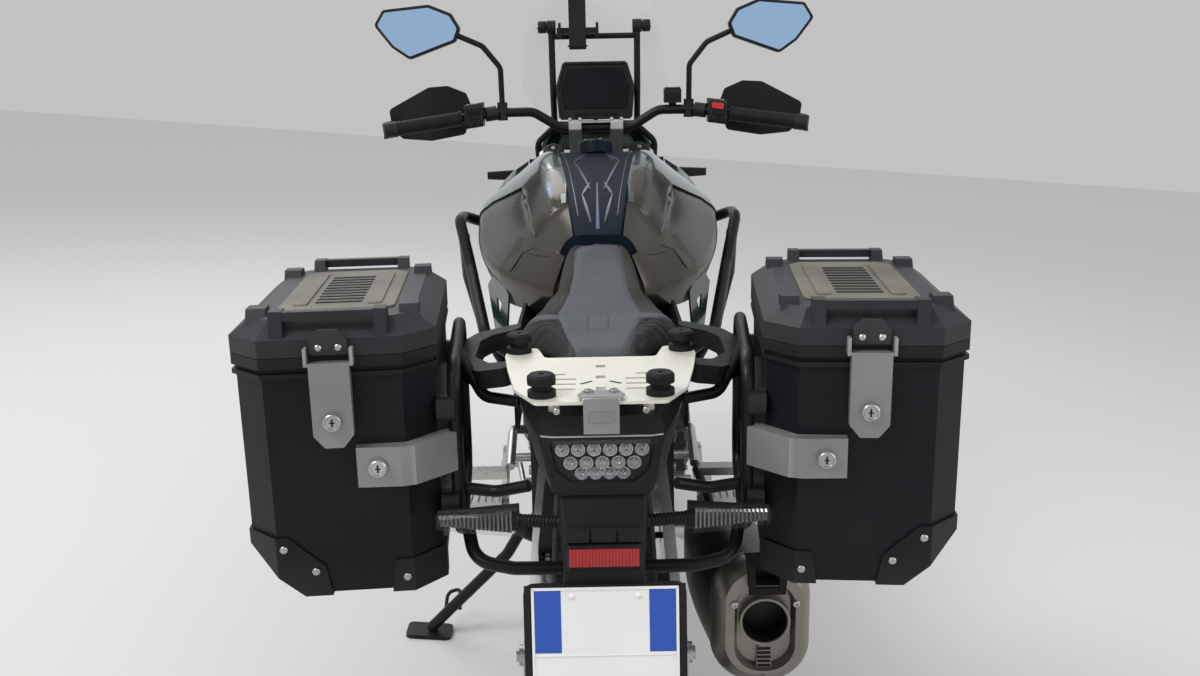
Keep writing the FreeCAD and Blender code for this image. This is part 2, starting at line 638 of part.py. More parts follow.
def side_trim():
    """The right lower panel behind the knee, with its triangular window and the arm that carries it."""
    edge = [(-10, 60), (62, 96), (108, 60), (74, -34), (34, -60), (4, -8)]
    hole = [(30, 34), (60, 44), (52, 2)]
    plate = slab(rounded(edge, 6), "x", 0, 4).cut(slab(rounded(hole, 4), "x", -1, 5))
    plate = turned(plate, math.radians(-26), V(0, 0, 0), V(0, 0, 1))
    plate.translate(V(184, 590, 736))
    arm = rod(V(150, 676, 672), V(208, 643, 698), 8)
    return largest(fuse([plate, arm]).cut(NODES["main_frame"]).cut(NODES["subframe"]))


def seat_section(y, half, top, low, side=0.8):
    corners = [(-half * side, top), (half * side, top), (half, low + 14), (half - 10, low),
               (-half + 10, low), (-half, low + 14)]
    return outline(rounded(corners, [24, 24, 10, 6, 6, 10]), LIFT["y"](y))


def seats():
    rider = loft([seat_section(42, 130, 864, 812), seat_section(150, 130, 858, 808),
                  seat_section(225, 106, 857, 806), seat_section(305, 84, 862, 806),
                  seat_section(400, 72, 888, 812), seat_section(462, 60, 924, 840)])
    rider = rider.cut(NODES["fuel_tank"]).cut(loft(tank_wires(6)))
    add("rider_seat", rider.cut(NODES["subframe"]))
    pillion = loft([seat_section(-178, 58, 868, 838), seat_section(-122, 78, 873, 838),
                    seat_section(-50, 118, 876, 836), seat_section(38, 132, 878, 832)])
    add("pillion_seat", pillion)


def tail():
    def section(y, half, top, low):
        corners = [(-half + 8, top), (half - 8, top), (half, top - 22), (half - 18, low), (-half + 18, low),
                   (-half, top - 22)]
        return outline(rounded(corners, 8), LIFT["y"](y))
    outer = loft([section(150, 136, 803, 715), section(-60, 130, 828, 735), section(-250, 100, 834, 735),
                  section(-345, 78, 836, 735)], ruled=True)
    inner = fuse([
        loft([section(160, 131, 798, 700), section(-60, 125, 823, 700), section(-205, 101, 828, 700)],
             ruled=True),
        loft([section(-200, 101, 828, 745), section(-250, 95, 829, 745), section(-338, 73, 831, 745)],
             ruled=True)])
    def lamp(grow, y0, y1):
        g = grow
        return slab(rounded([(-64 - g, 805 + g), (64 + g, 805 + g), (57 + g, 767), (38 + g, 751 - g),
                             (-38 - g, 751 - g), (-57 - g, 767)], 6), "y", y0, y1)
    shell = outer.cut(inner).cut(lamp(CLEAR, -360,
                                      -325)).cut(NODES["rider_seat"]).cut(NODES["pillion_seat"])
    side = slab(rounded([(165, 640), (300, 655), (420, 700), (560, 690), (575, 760), (480, 800),
                         (165, 800)], 18),
                "x", 140, 146)
    bosses = [rod(V(100, y, z), V(141, y, z), 8) for y, z in ((450, 762), (230, 772))]
    side = largest(fuse([side] + bosses).cut(NODES["subframe"]))
    add("tail_cowl", largest(shell.cut(NODES["subframe"])), side, flip(side))
    add("tail_light", lamp(0, -342, -322))
    hanger = loft([outline(rounded([(-58, -338), (58, -338), (50, -270), (-50, -270)], 8),
                           LIFT["z"](735 - CLEAR)),
                   outline(rounded([(-50, -386), (50, -386), (44, -335), (-44, -335)], 8), LIFT["z"](655)),
                   outline(rounded([(-60, -400), (60, -400), (52, -368), (-52, -368)], 8), LIFT["z"](560)),
                   outline(rounded([(-60, -407), (60, -407), (52, -388), (-52, -388)], 8), LIFT["z"](500))],
                  ruled=True)
    frame = turned(slab(rounded([(-98, 452), (98, 452), (98, 640), (-98, 640)], 12), "y", -394, -386),
                   math.radians(-8), V(0, -390, 640), V(1, 0, 0))
    add("plate_hanger", fuse([hanger, frame]))
    plate = turned(slab(rounded([(-88.5, 460), (88.5, 460), (88.5, 637), (-88.5, 637)], 6), "y", -396.3,
                        -394.3),
                   math.radians(-8), V(0, -390, 640), V(1, 0, 0))
    add("number_plate", plate)
    reflector = slab(rounded([(-45, 656), (45, 656), (45, 687), (-45, 687)], 4), "y", -392, -374)
    add("rear_reflector", reflector.cut(NODES["plate_hanger"]))


def indicators():
    lens = loft([outline(rounded([(-318, 668), (-278, 668), (-278, 700), (-318, 700)], 6), LIFT["x"](108)),
                 outline(rounded([(-308, 674), (-284, 674), (-284, 694), (-308, 694)], 6), LIFT["x"](212))])
    stalk = rod(V(40, -325, 692), V(107.7, -300, 684), 9)
    front = loft([outline(rounded([(1352, 946), (1386, 946), (1386, 974), (1352, 974)], 6), LIFT["x"](205)),
                  outline(rounded([(1357, 950), (1381, 950), (1381, 970), (1357, 970)], 6),
                          LIFT["x"](292))])
    front_stalk = rod(V(150, 1369, 960), V(210, 1369, 960), 8).cut(NODES["front_cowl"])
    front_stalk = sorted(front_stalk.Solids, key=lambda part: part.CenterOfMass.x)[-1]
    add("indicators", *pair(fuse([lens, stalk.cut(NODES["plate_hanger"])])),
        *pair(fuse([front, front_stalk])))


def rack():
    z0 = RACK_Z - RACK_T
    edge = [(-124, -128), (-86, -132), (-74, -184), (74, -184), (86, -132), (124, -128), (128, -170),
            (120, -235), (105, -328), (77, -383), (-77, -383), (-105, -328), (-120, -235), (-128, -170)]
    plate = slab(rounded(edge, 8), "z", z0, RACK_Z)
    cuts = []
    for i, (x0, x1) in enumerate(((30, 68), (30, 76), (30, 76), (44, 76))):
        y = -335 + 22 * i
        for side in (1, -1):
            lo, hi = min(side * x0, side * x1), max(side * x0, side * x1)
            cuts.append(slab(rounded([(lo, y), (hi, y), (hi, y + 6), (lo, y + 6)], 2.8), "z", z0 - 1,
                             RACK_Z + 1))
    for y in (-230, -280, -330):
        cuts.append(block(-6, 6, y - 6, y + 6, z0 - 1, RACK_Z + 1))
    for x, y in BUFFERS:
        cuts.append(Part.makeCylinder(3.3, RACK_T + 2, V(x, y, z0 - 1), V(0, 0, 1)))
    plate = plate.cut(cuts)
    bracket = fuse([block(-22, 22, -389, -350, RACK_Z, RACK_Z + 4),
                    block(-19, 19, -389, -385, RACK_Z - 38, RACK_Z + 4)])
    legs = [rod(V(x, y, 832), V(x, y, z0), 7) for x,
            y in ((80, -215), (-80, -215), (58, -318), (-58, -318))]
    legs = [leg.cut(NODES["tail_cowl"]) for leg in legs]
    legs = [sorted(leg.Solids, key=lambda part: part.CenterOfMass.z)[-1] for leg in legs]
    add("rear_rack", fuse([plate, bracket.cut(block(-30, 30, -383, -340, 800, RACK_Z - RACK_T))] + legs))
    for x, y in BUFFERS:
        profile = [(3.3, 0), (17, 0), (17, 7), (12, 9), (12, 13), (17, 15), (17, 24), (14, 27), (3.3, 27)]
        face = Part.Face(outline(profile, lambda r, h: V(x + r, y, RACK_Z + h)))
        add("rack_buffers", face.revolve(V(x, y, RACK_Z), V(0, 0, 1), 360))


BUFFERS = [(110, -150), (-110, -150), (70, -356), (-70, -356)]


def grab_handles():
    plan = rounded([(120, 80), (188, 62), (208, 20), (204, -100), (165, -175), (120, -184), (120, -150),
                    (152, -140), (176, -92), (178, 0), (162, 28), (120, 40)], 14)
    grip = slab(plan, "z", 826, 852)
    grip = turned(grip, math.radians(9), V(132, 0, 840), V(0, 1, 0))
    for name in ("rider_seat", "pillion_seat", "tail_cowl"):
        grip = grip.cut(NODES[name])
    grip = largest(grip)
    add("grab_handles", *pair(grip))


# Side cases. A case is drawn in its own frame: u outward, v forward, w up.

def case_place(shape):
    copy = shape.copy()
    copy.rotate(V(0, 0, 0), V(0, 0, 1), -math.degrees(TOE))
    copy.translate(V(CASE_CORNER[0], CASE_CORNER[1], 0))
    return copy


def case_plan(grow):
    w, length, c = CASE_W, CASE_L, CASE_CHAMFER
    g = grow
    k = c + g * 0.6
    return [(k - g, -g), (w - k + g, -g), (w + g, k - g), (w + g, length - k + g), (w - k + g, length + g),
            (k - g, length + g), (-g, length - k + g), (-g, k - g)]


def case_solid(grow, low, high):
    """The eight-sided box with its lower outer edge cut away."""
    body = slab(case_plan(grow), "z", low, high)
    edge = slab([(CASE_W + grow + 1, CASE_LOW - 20), (CASE_W + grow + 1, CASE_LOW + 62 - grow),
                 (CASE_W - 72 + grow * 0.6, CASE_LOW - 1 - grow), (CASE_W - 72, CASE_LOW - 20)], "y", -50,
                CASE_L + 50)
    return body.cut(edge)


# Outlines of the corner protectors on a case's rear face: across from the outer or inner edge, and up
# from the floor.
OUTER_GUARD = [(8, -6), (8, 78), (-52, 78), (-97, 37), (-104, -6)]
INNER_GUARD = [(-8, -6), (-8, 41), (60, 41), (66, -6)]
GUARD_T = 3.5


def case_body():
    shell = case_solid(0, CASE_LOW, CASE_TOP)
    lip = slab(case_plan(5), "z", CASE_TOP - 14, CASE_TOP)
    groove = slab(case_plan(5), "z", CASE_TOP - 26, CASE_TOP - 20)
    guards = []
    for v0, v1 in ((-4, 62), (CASE_L - 62, CASE_L + 4)):
        for edge in (OUTER_GUARD, INNER_GUARD):
            zone = slab([((CASE_W if edge is OUTER_GUARD else 0) + u, CASE_LOW + w) for u, w in edge], "y",
                        v0, v1)
            guards.append(case_solid(GUARD_T, CASE_LOW - GUARD_T, CASE_TOP - 100).common(zone))
    inner = case_solid(-CASE_WALL, CASE_LOW + CASE_WALL, CASE_TOP + 20)
    knuckles = [hinge_part(u0, u1, -1) for u0, u1 in ((48, 84), (161, 197))]
    v, w = hinge_axis()
    pin = rod(V(48, v, w), V(197, v, w), 2.5)
    return fuse([shell, lip, groove] + guards).cut(inner).fuse(knuckles).fuse(pin).removeSplitter()


def hinge_axis():
    return CASE_L + HINGE_OUT + 5, CASE_TOP


def hinge_part(u0, u1, side):
    """A knuckle on the hinge line with its leaf, on the lid for side 1 and on the body for side -1."""
    v, w = hinge_axis()
    barrel = rod(V(u0, v, w), V(u1, v, w), 6)
    z0, z1 = (w + 1, w + 16) if side > 0 else (w - 16, w - 1)
    leaf = block(u0, u1, CASE_L, v, z0, z1)
    leaf = leaf.cut(block(u0 - 1, u1 + 1, v - 2, v + 1, min(z0, z1) - 1, max(z0, z1) + 1))
    leaf = leaf.common(block(u0, u1, CASE_L, v, w - 16, w + 16))
    if side > 0:
        return fuse([barrel, leaf]).cut(rod(V(u0 - 1, v, w), V(u1 + 1, v, w), 2.9))
    return fuse([barrel, leaf])


def case_lid():
    low = CASE_TOP + 0.8
    def ring(grow, z):
        return outline(case_plan(grow), LIFT["z"](z))
    skirt = loft([ring(5, low), ring(5, low + 22)], True)
    crown = loft([ring(5, low + 22), ring(-22, LID_TOP)], True)
    inner = loft([ring(5 - CASE_WALL, low - 1), ring(5 - CASE_WALL, low + 20),
                  ring(-24, LID_TOP - CASE_WALL)], True)
    parts = [skirt, crown]
    for v0, v1, back in ((-5, 44, 1), (CASE_L - 44, CASE_L + 5, -1)):
        for u0 in (52, CASE_W - 52 - 16):
            outer_v, inner_v = (v0, v1) if back > 0 else (v1, v0)
            parts.append(slab([(outer_v, low + 8), (outer_v + back * 6, LID_TOP + 14),
                               (inner_v - back * 22, LID_TOP + 14), (inner_v, LID_TOP - 14),
                               (inner_v, low + 22)], "x", u0, u0 + 16))
        a, b = sorted((v0 + 6 if back > 0 else v1 - 6, v0 + 20 if back > 0 else v1 - 20))
        parts.append(block(60, CASE_W - 60, a, b, LID_TOP + 2, LID_TOP + 13))
    for u, v in ((24, 60), (CASE_W - 24, 60), (24, CASE_L - 60), (CASE_W - 24, CASE_L - 60)):
        s = 1 if u < CASE_W / 2 else -1
        parts.append(slab([(v - 26, LID_TOP - 12), (v - 12, LID_TOP + 9), (v + 12, LID_TOP + 9),
                           (v + 26, LID_TOP - 12)],
                          "x", min(u - 8 * s, u + 16 * s), max(u - 8 * s, u + 16 * s)))
    hinge = hinge_part(88, 157, 1)
    catch = slab(rounded([(99, low + 4), (146, low + 4), (146, low + 22), (134, low + 34), (111, low + 34),
                          (99, low + 22)], 4),
                 "y", -12, -4)
    solid = fuse(parts).cut(inner)
    return fuse([solid, hinge, catch])


def case_latch():
    """The lid latch on the rear face and the lock that grips the carrier at the inner edge."""
    drop = slab(rounded([(98, CASE_TOP - 4), (147, CASE_TOP - 4), (147, CASE_TOP - 96),
                         (134, CASE_TOP - 112), (111, CASE_TOP - 112), (98, CASE_TOP - 96)], 3), "y", -20,
                -5.3)
    back = slab([(104, CASE_TOP - 34), (141, CASE_TOP - 34), (141, CASE_TOP - 90), (104, CASE_TOP - 90)],
                "y", -5.3, -CLEAR)
    ears = [block(u, u + 4, -20, -6, CASE_TOP - 8, CASE_TOP + 14) for u in (93, 148)]
    bridge = block(93, 152, -20, -14, CASE_TOP - 8, CASE_TOP - 4)
    key = Part.makeCylinder(11, 5, V(122.5, -20, CASE_TOP - 78), V(0, -1, 0))
    lid_latch = fuse([drop, back, bridge, key] + ears)
    plan = [(98, -CLEAR), (98, -15), (44, -18), (26, -14), (-24, 30), (-24, 44), (-12, 44), (-CLEAR, 38.5),
            (38, -CLEAR)]
    lock = slab(plan, "z", 738, 790)
    knob = Part.makeCylinder(12, 6, V(72, -16, 764), V(0, -1, 0))
    return [lid_latch, fuse([lock, knob])]


def cases():
    body = case_place(case_body())
    add("right_case", body)
    add("left_case", flip(body))
    lid = case_place(case_lid())
    add("right_lid", lid)
    add("left_lid", flip(lid))
    for part in case_latch():
        add("case_latches", *pair(case_place(part).cut(body)))


def pannier_rack():
    u = -CLEAR - 14 - HOOP_R
    hoop = tube([(u, 200, 640), (u, 40, 640), (u, 40, 872), (u, 330, 872), (u, 330, 640), (u, 200.5, 640)],
                HOOP_R, 40)
    close = rod(V(u, 190, 640), V(u, 210, 640), HOOP_R)
    pucks = [rod(V(u, v, w), V(-CLEAR, v, w), 18) for v,
             w in ((40, 820), (330, 820), (40, 690), (330, 690))]
    loop = case_place(fuse([hoop, close] + pucks))
    strut_top = tube([(196, -150, 872), (160, -158, 806), (112, -165, 800)], 8, 20)
    strut_mid = tube([(188, -238, 706), (140, -245, 702), (96, -262, 716)], 8, 30)
    strut_front = tube([(216, 40, 640), (200, 130, 606), (176, 318, 532)], 9, 60)
    cross = tube([(0, -262, 598), (120, -262, 600), (172, -250, 606), (186, -200, 640)], 9, 40)
    half = fuse([loop, strut_top, strut_front, strut_mid, cross])
    whole = fuse([half, flip(half)])
    for name in ("tail_cowl", "plate_hanger", "subframe", "grab_handles", "case_latches", "main_frame",
                 "footpegs"):
        whole = whole.cut(NODES[name])
    add("pannier_rack", largest(whole))


def crash_bars():
    upper = tube(BAR_UPPER, BAR_TUBE_R, 45)
    lower = tube(BAR_LOWER, BAR_TUBE_R, 60)
    half = fuse([upper, lower])
    whole = [half, flip(half)]
    out = []
    for solid in whole:
        for name in ("main_frame", "engine", "tank_shrouds", "tank_cover"):
            solid = solid.cut(NODES[name])
        out.append(solid)
    add("crash_bars", *out)


def footpegs():
    out = []
    frame = NODES["main_frame"][0].cut(block(-160, 0, 0, 900, 200, 900))
    for side in (1, -1):
        peg = block(205, 300, 470, 515, 378, 392)
        teeth = [block(210 + 14 * i, 216 + 14 * i, 470, 515, 392, 398) for i in range(6)]
        hanger = slab(rounded([(500, 360), (545, 360), (600, 420), (600, 470), (560, 470), (500, 410)], 10),
                      "x", 196, 206)
        post = rod(V(ARM_OUT + 16, 585, 445), V(200, 585, 445), 9)
        clevis = block(192, 214, 478, 508, 366, 384)
        parts = fuse([peg, hanger, post, clevis] + teeth).cut(frame)
        out.append(parts if side > 0 else flip(parts))
        back_bar = tube([(ARM_OUT + 10, 540, 520), (172, 430, 560), (172, 330, 520)], 9, 40)
        back_peg = block(176, 262, 305, 335, 505, 520)
        back = fuse([back_bar, back_peg]).cut(frame)
        back = largest(back)
        out.append(back if side > 0 else flip(back))
    add("footpegs", *out)
    pedal = tube([(178, 560, 400), (190, 640, 350), (215, 740, 330)], 7, 40)
    pad = block(205, 245, 725, 755, 330, 340)
    shift = tube([(-160, 560, 400), (-170, 640, 360), (-185, 725, 380)], 6, 40)
    toe = rod(V(-180, 725, 380), V(-225, 725, 380), 9)
    arm = rod(V(ARM_OUT + 17 + CLEAR, 560, 400), V(184, 560, 400), 8)
    arm_left = rod(V(-ARM_OUT - 17 - CLEAR, 560, 400), V(-162, 560, 400), 8)
    shift_left = fuse([shift, toe, arm_left])
    add("footpegs", fuse([pedal, pad, arm]), shift_left)


def front_bodywork():
    def section(y, half, top, low, wide):
        corners = [(-half, top), (half, top), (wide, (top + low) / 2), (wide * 0.75, low),
                   (-wide * 0.75, low), (-wide, (top + low) / 2)]
        return outline(rounded(corners, 16), LIFT["y"](y))
    cowl = loft([section(1335, 112, 1100, 870, 172), section(1420, 100, 1085, 868, 160),
                 section(1500, 72, 1030, 880, 118)],
                ruled=True)
    hollow = loft([section(1330, 106, 1094, 876, 165), section(1420, 94, 1078, 875, 152),
                   section(1440, 90, 1060, 880, 140)],
                  ruled=True)
    beak = loft([section(1470, 66, 895, 862, 92), section(1560, 56, 892, 858, 72),
                 section(1660, 24, 872, 852, 34)], ruled=True)

    def lamps(grow, y1):
        g = grow
        upper = slab(rounded([(-46 - g, 972 - g), (46 + g, 972 - g), (42 + g, 1022 + g),
                              (-42 - g, 1022 + g)], 8), "y", 1445, y1)
        lower = slab(rounded([(-52 - g, 912 - g), (52 + g, 912 - g), (50 + g, 964 + g), (-50 - g, 964 + g)],
                             8), "y", 1445, y1)
        return [upper, lower]
    reach = math.hypot(LEG_X + CLAMP_REACH, LEG_F + CLAMP_REACH + STEER_OFFSET) + FORK_SWEEP
    sweep = rod(on_fork(0, 300, -STEER_OFFSET), on_fork(0, 900, -STEER_OFFSET), reach)
    add("front_cowl",
        largest(fuse([cowl.cut(hollow), beak.cut(hollow)]).cut(lamps(CLEAR, 1530)).cut(sweep)))
    add("headlamps", *lamps(0, 1504))
    screen = screen_solid(0, 4.0)
    add("windscreen", screen)


def screen_solid(back, thick):
    """A curved sheet: flat in its middle, swept back at its sides, leaning rearward."""
    levels = [
        # z, half width, y in the middle, y at the edges
        (1112, 130, 1372, 1330), (1170, 186, 1350, 1296), (1290, 178, 1302, 1246), (1420, 150, 1248, 1204)]
    wires = []
    for z, half, ym, ye in levels:
        outer = [(-half, ye + thick), ((0, ym + thick), (half, ye + thick)), (half, ye),
                 ((0, ym), (-half, ye))]
        wires.append(outline(outer, LIFT["z"](z)))
    return loft(wires, ruled=True)


def cockpit():
    low = on_fork(0, 690, 150 - STEER_OFFSET)
    tower = tube([(96, low.y, low.z), (150, low.y, low.z), (154, low.y, low.z + 50), (106, 1288, 1090),
                  (106, 1240, 1180), (106, 1226, 1335)], 8, [20, 30, 30, 30])
    bars = [rod(V(-106, 1232, 1312), V(106, 1232, 1312), 7),
            rod(V(-106, 1288, 1092), V(106, 1288, 1092), 7),
            rod(V(-176, low.y, low.z), V(176, low.y, low.z), 9), rod(V(0, 1288, 1092), V(0, 1230, 1124), 6)]
    knobs = [Part.makeCylinder(16, 22, V(x, 1228, 1335), V(1, 0, 0)) for x in (95, -117)]
    pads = [rod(V(s * 106, 1232, z), V(s * 106, y, z), 6) for s in (1, -1) for z,
            y in ((1200, 1322), (1300, 1280))]
    lugs = [rod(V(s * 163, low.y, low.z), V(s * 163, 1352, low.z), 7) for s in (1, -1)]
    whole = fuse([tower, flip(tower)] + bars + knobs + pads + lugs)
    holder = fuse([
        block(-62, -20, 1196, 1216, 1280, 1420), block(-92, 10, 1198, 1212, 1318, 1332),
        block(-60, -22, 1210, 1228, 1296, 1326)])
    whole = fuse([whole, holder])
    for name in ("front_cowl", "windscreen", "main_frame"):
        whole = whole.cut(NODES[name])
    add("screen_bracket", largest(whole))
    case = turned(slab(rounded([(-92, 1112), (92, 1112), (98, 1190), (80, 1252), (-80, 1252), (-98, 1190)],
                               14), "y", 1216, 1246),
                  math.radians(-6), V(0, 1216, 1112), V(1, 0, 0))
    add("instrument_display", case.cut(NODES["screen_bracket"]))


def fork():
    upper = rod(on_fork(LEG_X, 330, LEG_F), on_fork(LEG_X, 800, LEG_F), UPPER_R)
    add("fork_upper_tubes", *pair(upper))
    lower = rod(on_fork(LEG_X, 30, LEG_F), on_fork(LEG_X, 330 - CLEAR, LEG_F), LOWER_R)
    boot = rod(on_fork(LEG_X, -30, LEG_F), on_fork(LEG_X, 90, LEG_F), 27)
    axle_boss = Part.makeCylinder(24, 36, V(80, WHEELBASE, FRONT_R), V(1, 0, 0))
    arm = tube([on_fork(LEG_X, 60, LEG_F), on_fork(LEG_X - 6, 92, LEG_F - 34),
                on_fork(LEG_X - 14, 120, LEG_F - 58)], 12, 20)
    leg = fuse([lower, boot, axle_boss, arm])
    axle = Part.makeCylinder(AXLE_R, 2 * 122, V(-122, WHEELBASE, FRONT_R), V(1, 0, 0))
    spacer = Part.makeCylinder(16, 80 - FRONT_HUB_HALF - 1, V(FRONT_HUB_HALF + 1, WHEELBASE, FRONT_R),
                               V(1, 0, 0))
    add("fork_lower_legs", fuse([leg, flip(leg), axle, spacer, flip(spacer)]))
    stem = rod(on_fork(0, LOW_CLAMP_S - 10, -STEER_OFFSET), on_fork(0, TOP_CLAMP_S + 26, -STEER_OFFSET),
               STEM_R)

    def clamp(s):
        side = LEG_X + CLAMP_REACH
        plan = rounded([(-side, LEG_F - 34), (-40, -STEER_OFFSET - 34), (40, -STEER_OFFSET - 34),
                        (side, LEG_F - 34), (side, LEG_F + CLAMP_REACH), (60, LEG_F + 30),
                        (-60, LEG_F + 30), (-side, LEG_F + CLAMP_REACH)], 18)
        wire = outline(plan, lambda x, f: on_fork(x, s - CLAMP_T / 2, f))
        return Part.Face(wire).extrude(on_fork(0, s + CLAMP_T / 2, 0) - on_fork(0, s - CLAMP_T / 2, 0))
    clamps = fuse([clamp(LOW_CLAMP_S), clamp(TOP_CLAMP_S), stem]).cut(NODES["fork_upper_tubes"])
    foot = on_fork(0, TOP_CLAMP_S + CLAMP_T / 2 - 6, -STEER_OFFSET - 6)
    saddle = rounded([(foot.y - 18, foot.z), (foot.y + 18, foot.z), (BAR_Y + 22, BAR_Z - 4),
                      (BAR_Y + 20, BAR_Z + 19), (BAR_Y - 20, BAR_Z + 19), (BAR_Y - 22, BAR_Z - 4)], 8)
    risers = [slab(saddle, "x", x - 15, x + 15) for x in (50, -50)]
    bridge = block(-36, 36, BAR_Y - 14, BAR_Y + 14, BAR_Z + 12, BAR_Z + 17)
    bar = handlebar_tube()
    add("handlebar", bar)
    add("triple_clamps", fuse([clamps] + risers + [bridge]).cut(bar))


BAR_Y, BAR_Z = 1096.0, 1096.0


def handlebar_tube():
    middle = [(0, BAR_Y, BAR_Z), (84, BAR_Y, BAR_Z), (150, 1090, 1136), (235, 1076, 1136)]
    end = (BAR_END_X, 1000, 1104)
    right = tube(middle + [end], BAR_R, [45, 45, 60])
    return fuse([right, flip(right)])


def bar_point(x, drop=0.0, ahead=0.0):
    """A point on the straight outer run of the right bar, at x."""
    k = (x - 235) / (BAR_END_X - 235)
    return V(x, 1076 + k * (1000 - 1076) + ahead, 1136 + k * (1104 - 1136) - drop)


def controls():
    bar = NODES["handlebar"][0]
    grip = rod(bar_point(318), bar_point(462), 17)
    weight = rod(bar_point(463), bar_point(492), 18)
    add("grips", *pair(grip.cut(bar)))
    pod = loft([outline(rounded([(-26, -26), (24, -26), (24, 30), (-26, 30)], 9),
                        lambda u, v, x=x: bar_point(x) + V(0, u, v)) for x in (266, 308)])
    lever_mount = rod(bar_point(236), bar_point(262), 17)
    lever = tube([bar_point(250, 0, 26), bar_point(290, 4, 52), bar_point(350, 8, 62),
                  bar_point(440, 12, 58)], 6, 30)
    knuckle = rod(bar_point(250, 0, 8), bar_point(250, 0, 32), 9)
    reservoir = block(164, 204, 1070, 1110, 1152, 1184)
    master = rod(V(184, 1090, 1142), V(184, 1090, 1153), 9)
    right = fuse([pod, lever_mount, lever, knuckle]).cut(bar)
    right_extra = fuse([reservoir, master]).cut(bar)
    add("switchgear", fuse([right, right_extra]), flip(right))
    shell_pts = rounded([(300, 1150), (312, 1182), (356, 1200), (402, 1197), (462, 1166), (500, 1146),
                         (494, 1098), (470, 1076), (400, 1070), (318, 1084)], 12)
    shield = slab(shell_pts, "y", 1120, 1126)
    wrap = slab(rounded([(486, 1000), (494, 1000), (500, 1060), (496, 1126), (488, 1126), (490, 1060)], 3),
                "z", 1084, 1120)
    post = tube([bar_point(228, 0, 14), V(232, 1112, 1132), V(322, 1119, 1128)], 7, 16)
    add("hand_guards",
        *pair(fuse([shield, wrap, weight, post]).cut(bar).cut(right).cut(right_extra).cut(grip)))
    stalk = tube([V(222, 1078, 1150), V(222, 1064, 1240), V(262, 1058, 1290), V(322, 1052, 1316)], 6.5, 24)
    base = rod(V(222, 1079, 1118), V(222, 1078, 1160), 12)
    head = slab(rounded([(310, 1330), (322, 1300), (430, 1262), (470, 1290), (508, 1340), (486, 1374),
                         (380, 1384), (330, 1364)], 10), "y", 1040, 1062)
    pane = slab(rounded([(317, 1330), (327, 1305), (429, 1269), (465, 1294), (500, 1340), (482, 1368),
                         (381, 1377), (334, 1358)], 8), "y", 1037, 1039.7)
    mirror = fuse([stalk, base, head]).cut(bar).cut(right).cut(right_extra)
    add("mirrors", *pair(mirror))
    add("mirror_glass", *pair(pane))


def front_fender():
    centre = FRONT_AXLE
    outer = lathe([(-62, 372), ((0, 392), (62, 372)), (60, 368), ((0, 387), (-60, 368))], centre)
    start, stop = math.radians(48), math.radians(150)
    def wedge(a0, a1):
        pts = [(centre.y, centre.z)]
        for i in range(7):
            a = a0 + (a1 - a0) * i / 6
            pts.append((centre.y + 600 * math.cos(a), centre.z + 600 * math.sin(a)))
        return slab(pts, "x", -100, 100)
    guard = outer.common(wedge(start, stop))
    seat = on_fork(0, 300, LEG_F)
    ear = slab(rounded([(seat.y - 20, seat.z - 18), (seat.y + 20, seat.z - 18), (1500, 690), (1480, 735),
                        (1410, 710)], 10),
               "x", 56, 61)
    stay = rod(V(58, seat.y, seat.z), V(LEG_X - 16, seat.y, seat.z), 9)
    add("front_fender", fuse([guard, ear, flip(ear), stay, flip(stay)]).cut(NODES["fork_lower_legs"])
        .cut(NODES["fork_upper_tubes"]))


def calipers():
    def caliper(centre, at, r0, r1, x_in, x_out, disc_in, disc_out):
        mid = (r0 + r1) / 2
        y, z = centre.y + mid * math.cos(at), centre.z + mid * math.sin(at)
        shape = block(x_in, x_out, y - 26, y + 26, z - 52, z + 52)
        shape = turned(shape, at, V(0, y, z), V(1, 0, 0))
        gap = Part.makeCylinder(r1 + 40, disc_out - disc_in + 8, V(disc_in - 4, centre.y, centre.z),
                                V(1, 0, 0))
        keep = Part.makeCylinder(r1 - 4, disc_out - disc_in + 8, V(disc_in - 4, centre.y, centre.z),
                                 V(1, 0, 0))
        return shape.cut(keep)
    x0 = FRONT_HUB_HALF + CLEAR
    front = caliper(FRONT_AXLE, math.radians(143), 112, 168, x0 - 18, x0 + 34, x0, x0 + DISC_T)
    front = front.cut(NODES["fork_lower_legs"])
    add("front_calipers", *pair(front))
    x0 = REAR_HUB_HALF + CLEAR
    rear = caliper(REAR_AXLE, math.radians(30), 92, 142, x0 - 16, ARM_IN - CLEAR, x0, x0 + DISC_T)
    add("rear_caliper", rear.cut(NODES["swingarm"]))


def guards():
    arc = lathe([(-84, 336), ((0, 352), (84, 336)), (82, 333), ((0, 348), (-82, 333))], REAR_AXLE)
    pts = [(0, REAR_R)]
    for i in range(6):
        a = math.radians(28 + 52 * i / 5)
        pts.append((600 * math.cos(a), REAR_R + 600 * math.sin(a)))
    hugger = arc.common(slab(pts, "x", -120, 120))
    leg = slab(rounded([(262, 388), (290, 388), (318, 470), (300, 506), (270, 500)], 6), "x", 81, 84)
    foot = rod(V(82, 275, 402), V(ARM_IN - CLEAR, 275, 402), 6)
    hugger = fuse([hugger, leg, flip(leg), foot, flip(foot)])
    guard = slab(rounded([(60, 472), (60, 480), (430, 502), (520, 502), (520, 494), (430, 492)], 2), "x",
                 -106, -86)
    face = slab(rounded([(130, 384), (60, 440), (60, 480), (430, 502), (520, 502), (500, 442), (300, 412)],
                        6),
                "x", -ARM_IN + CLEAR, -104)
    guard = fuse([guard, face]).cut(NODES["drive_chain"]).cut(NODES["swingarm"])
    add("rear_guards", guard, hugger.cut(guard))


# Side stand

def ground_z(x):
    """Height in the upright frame of the ground that the leaning bike stands on."""
    return -x * math.tan(LEAN) - TREAD_DROP


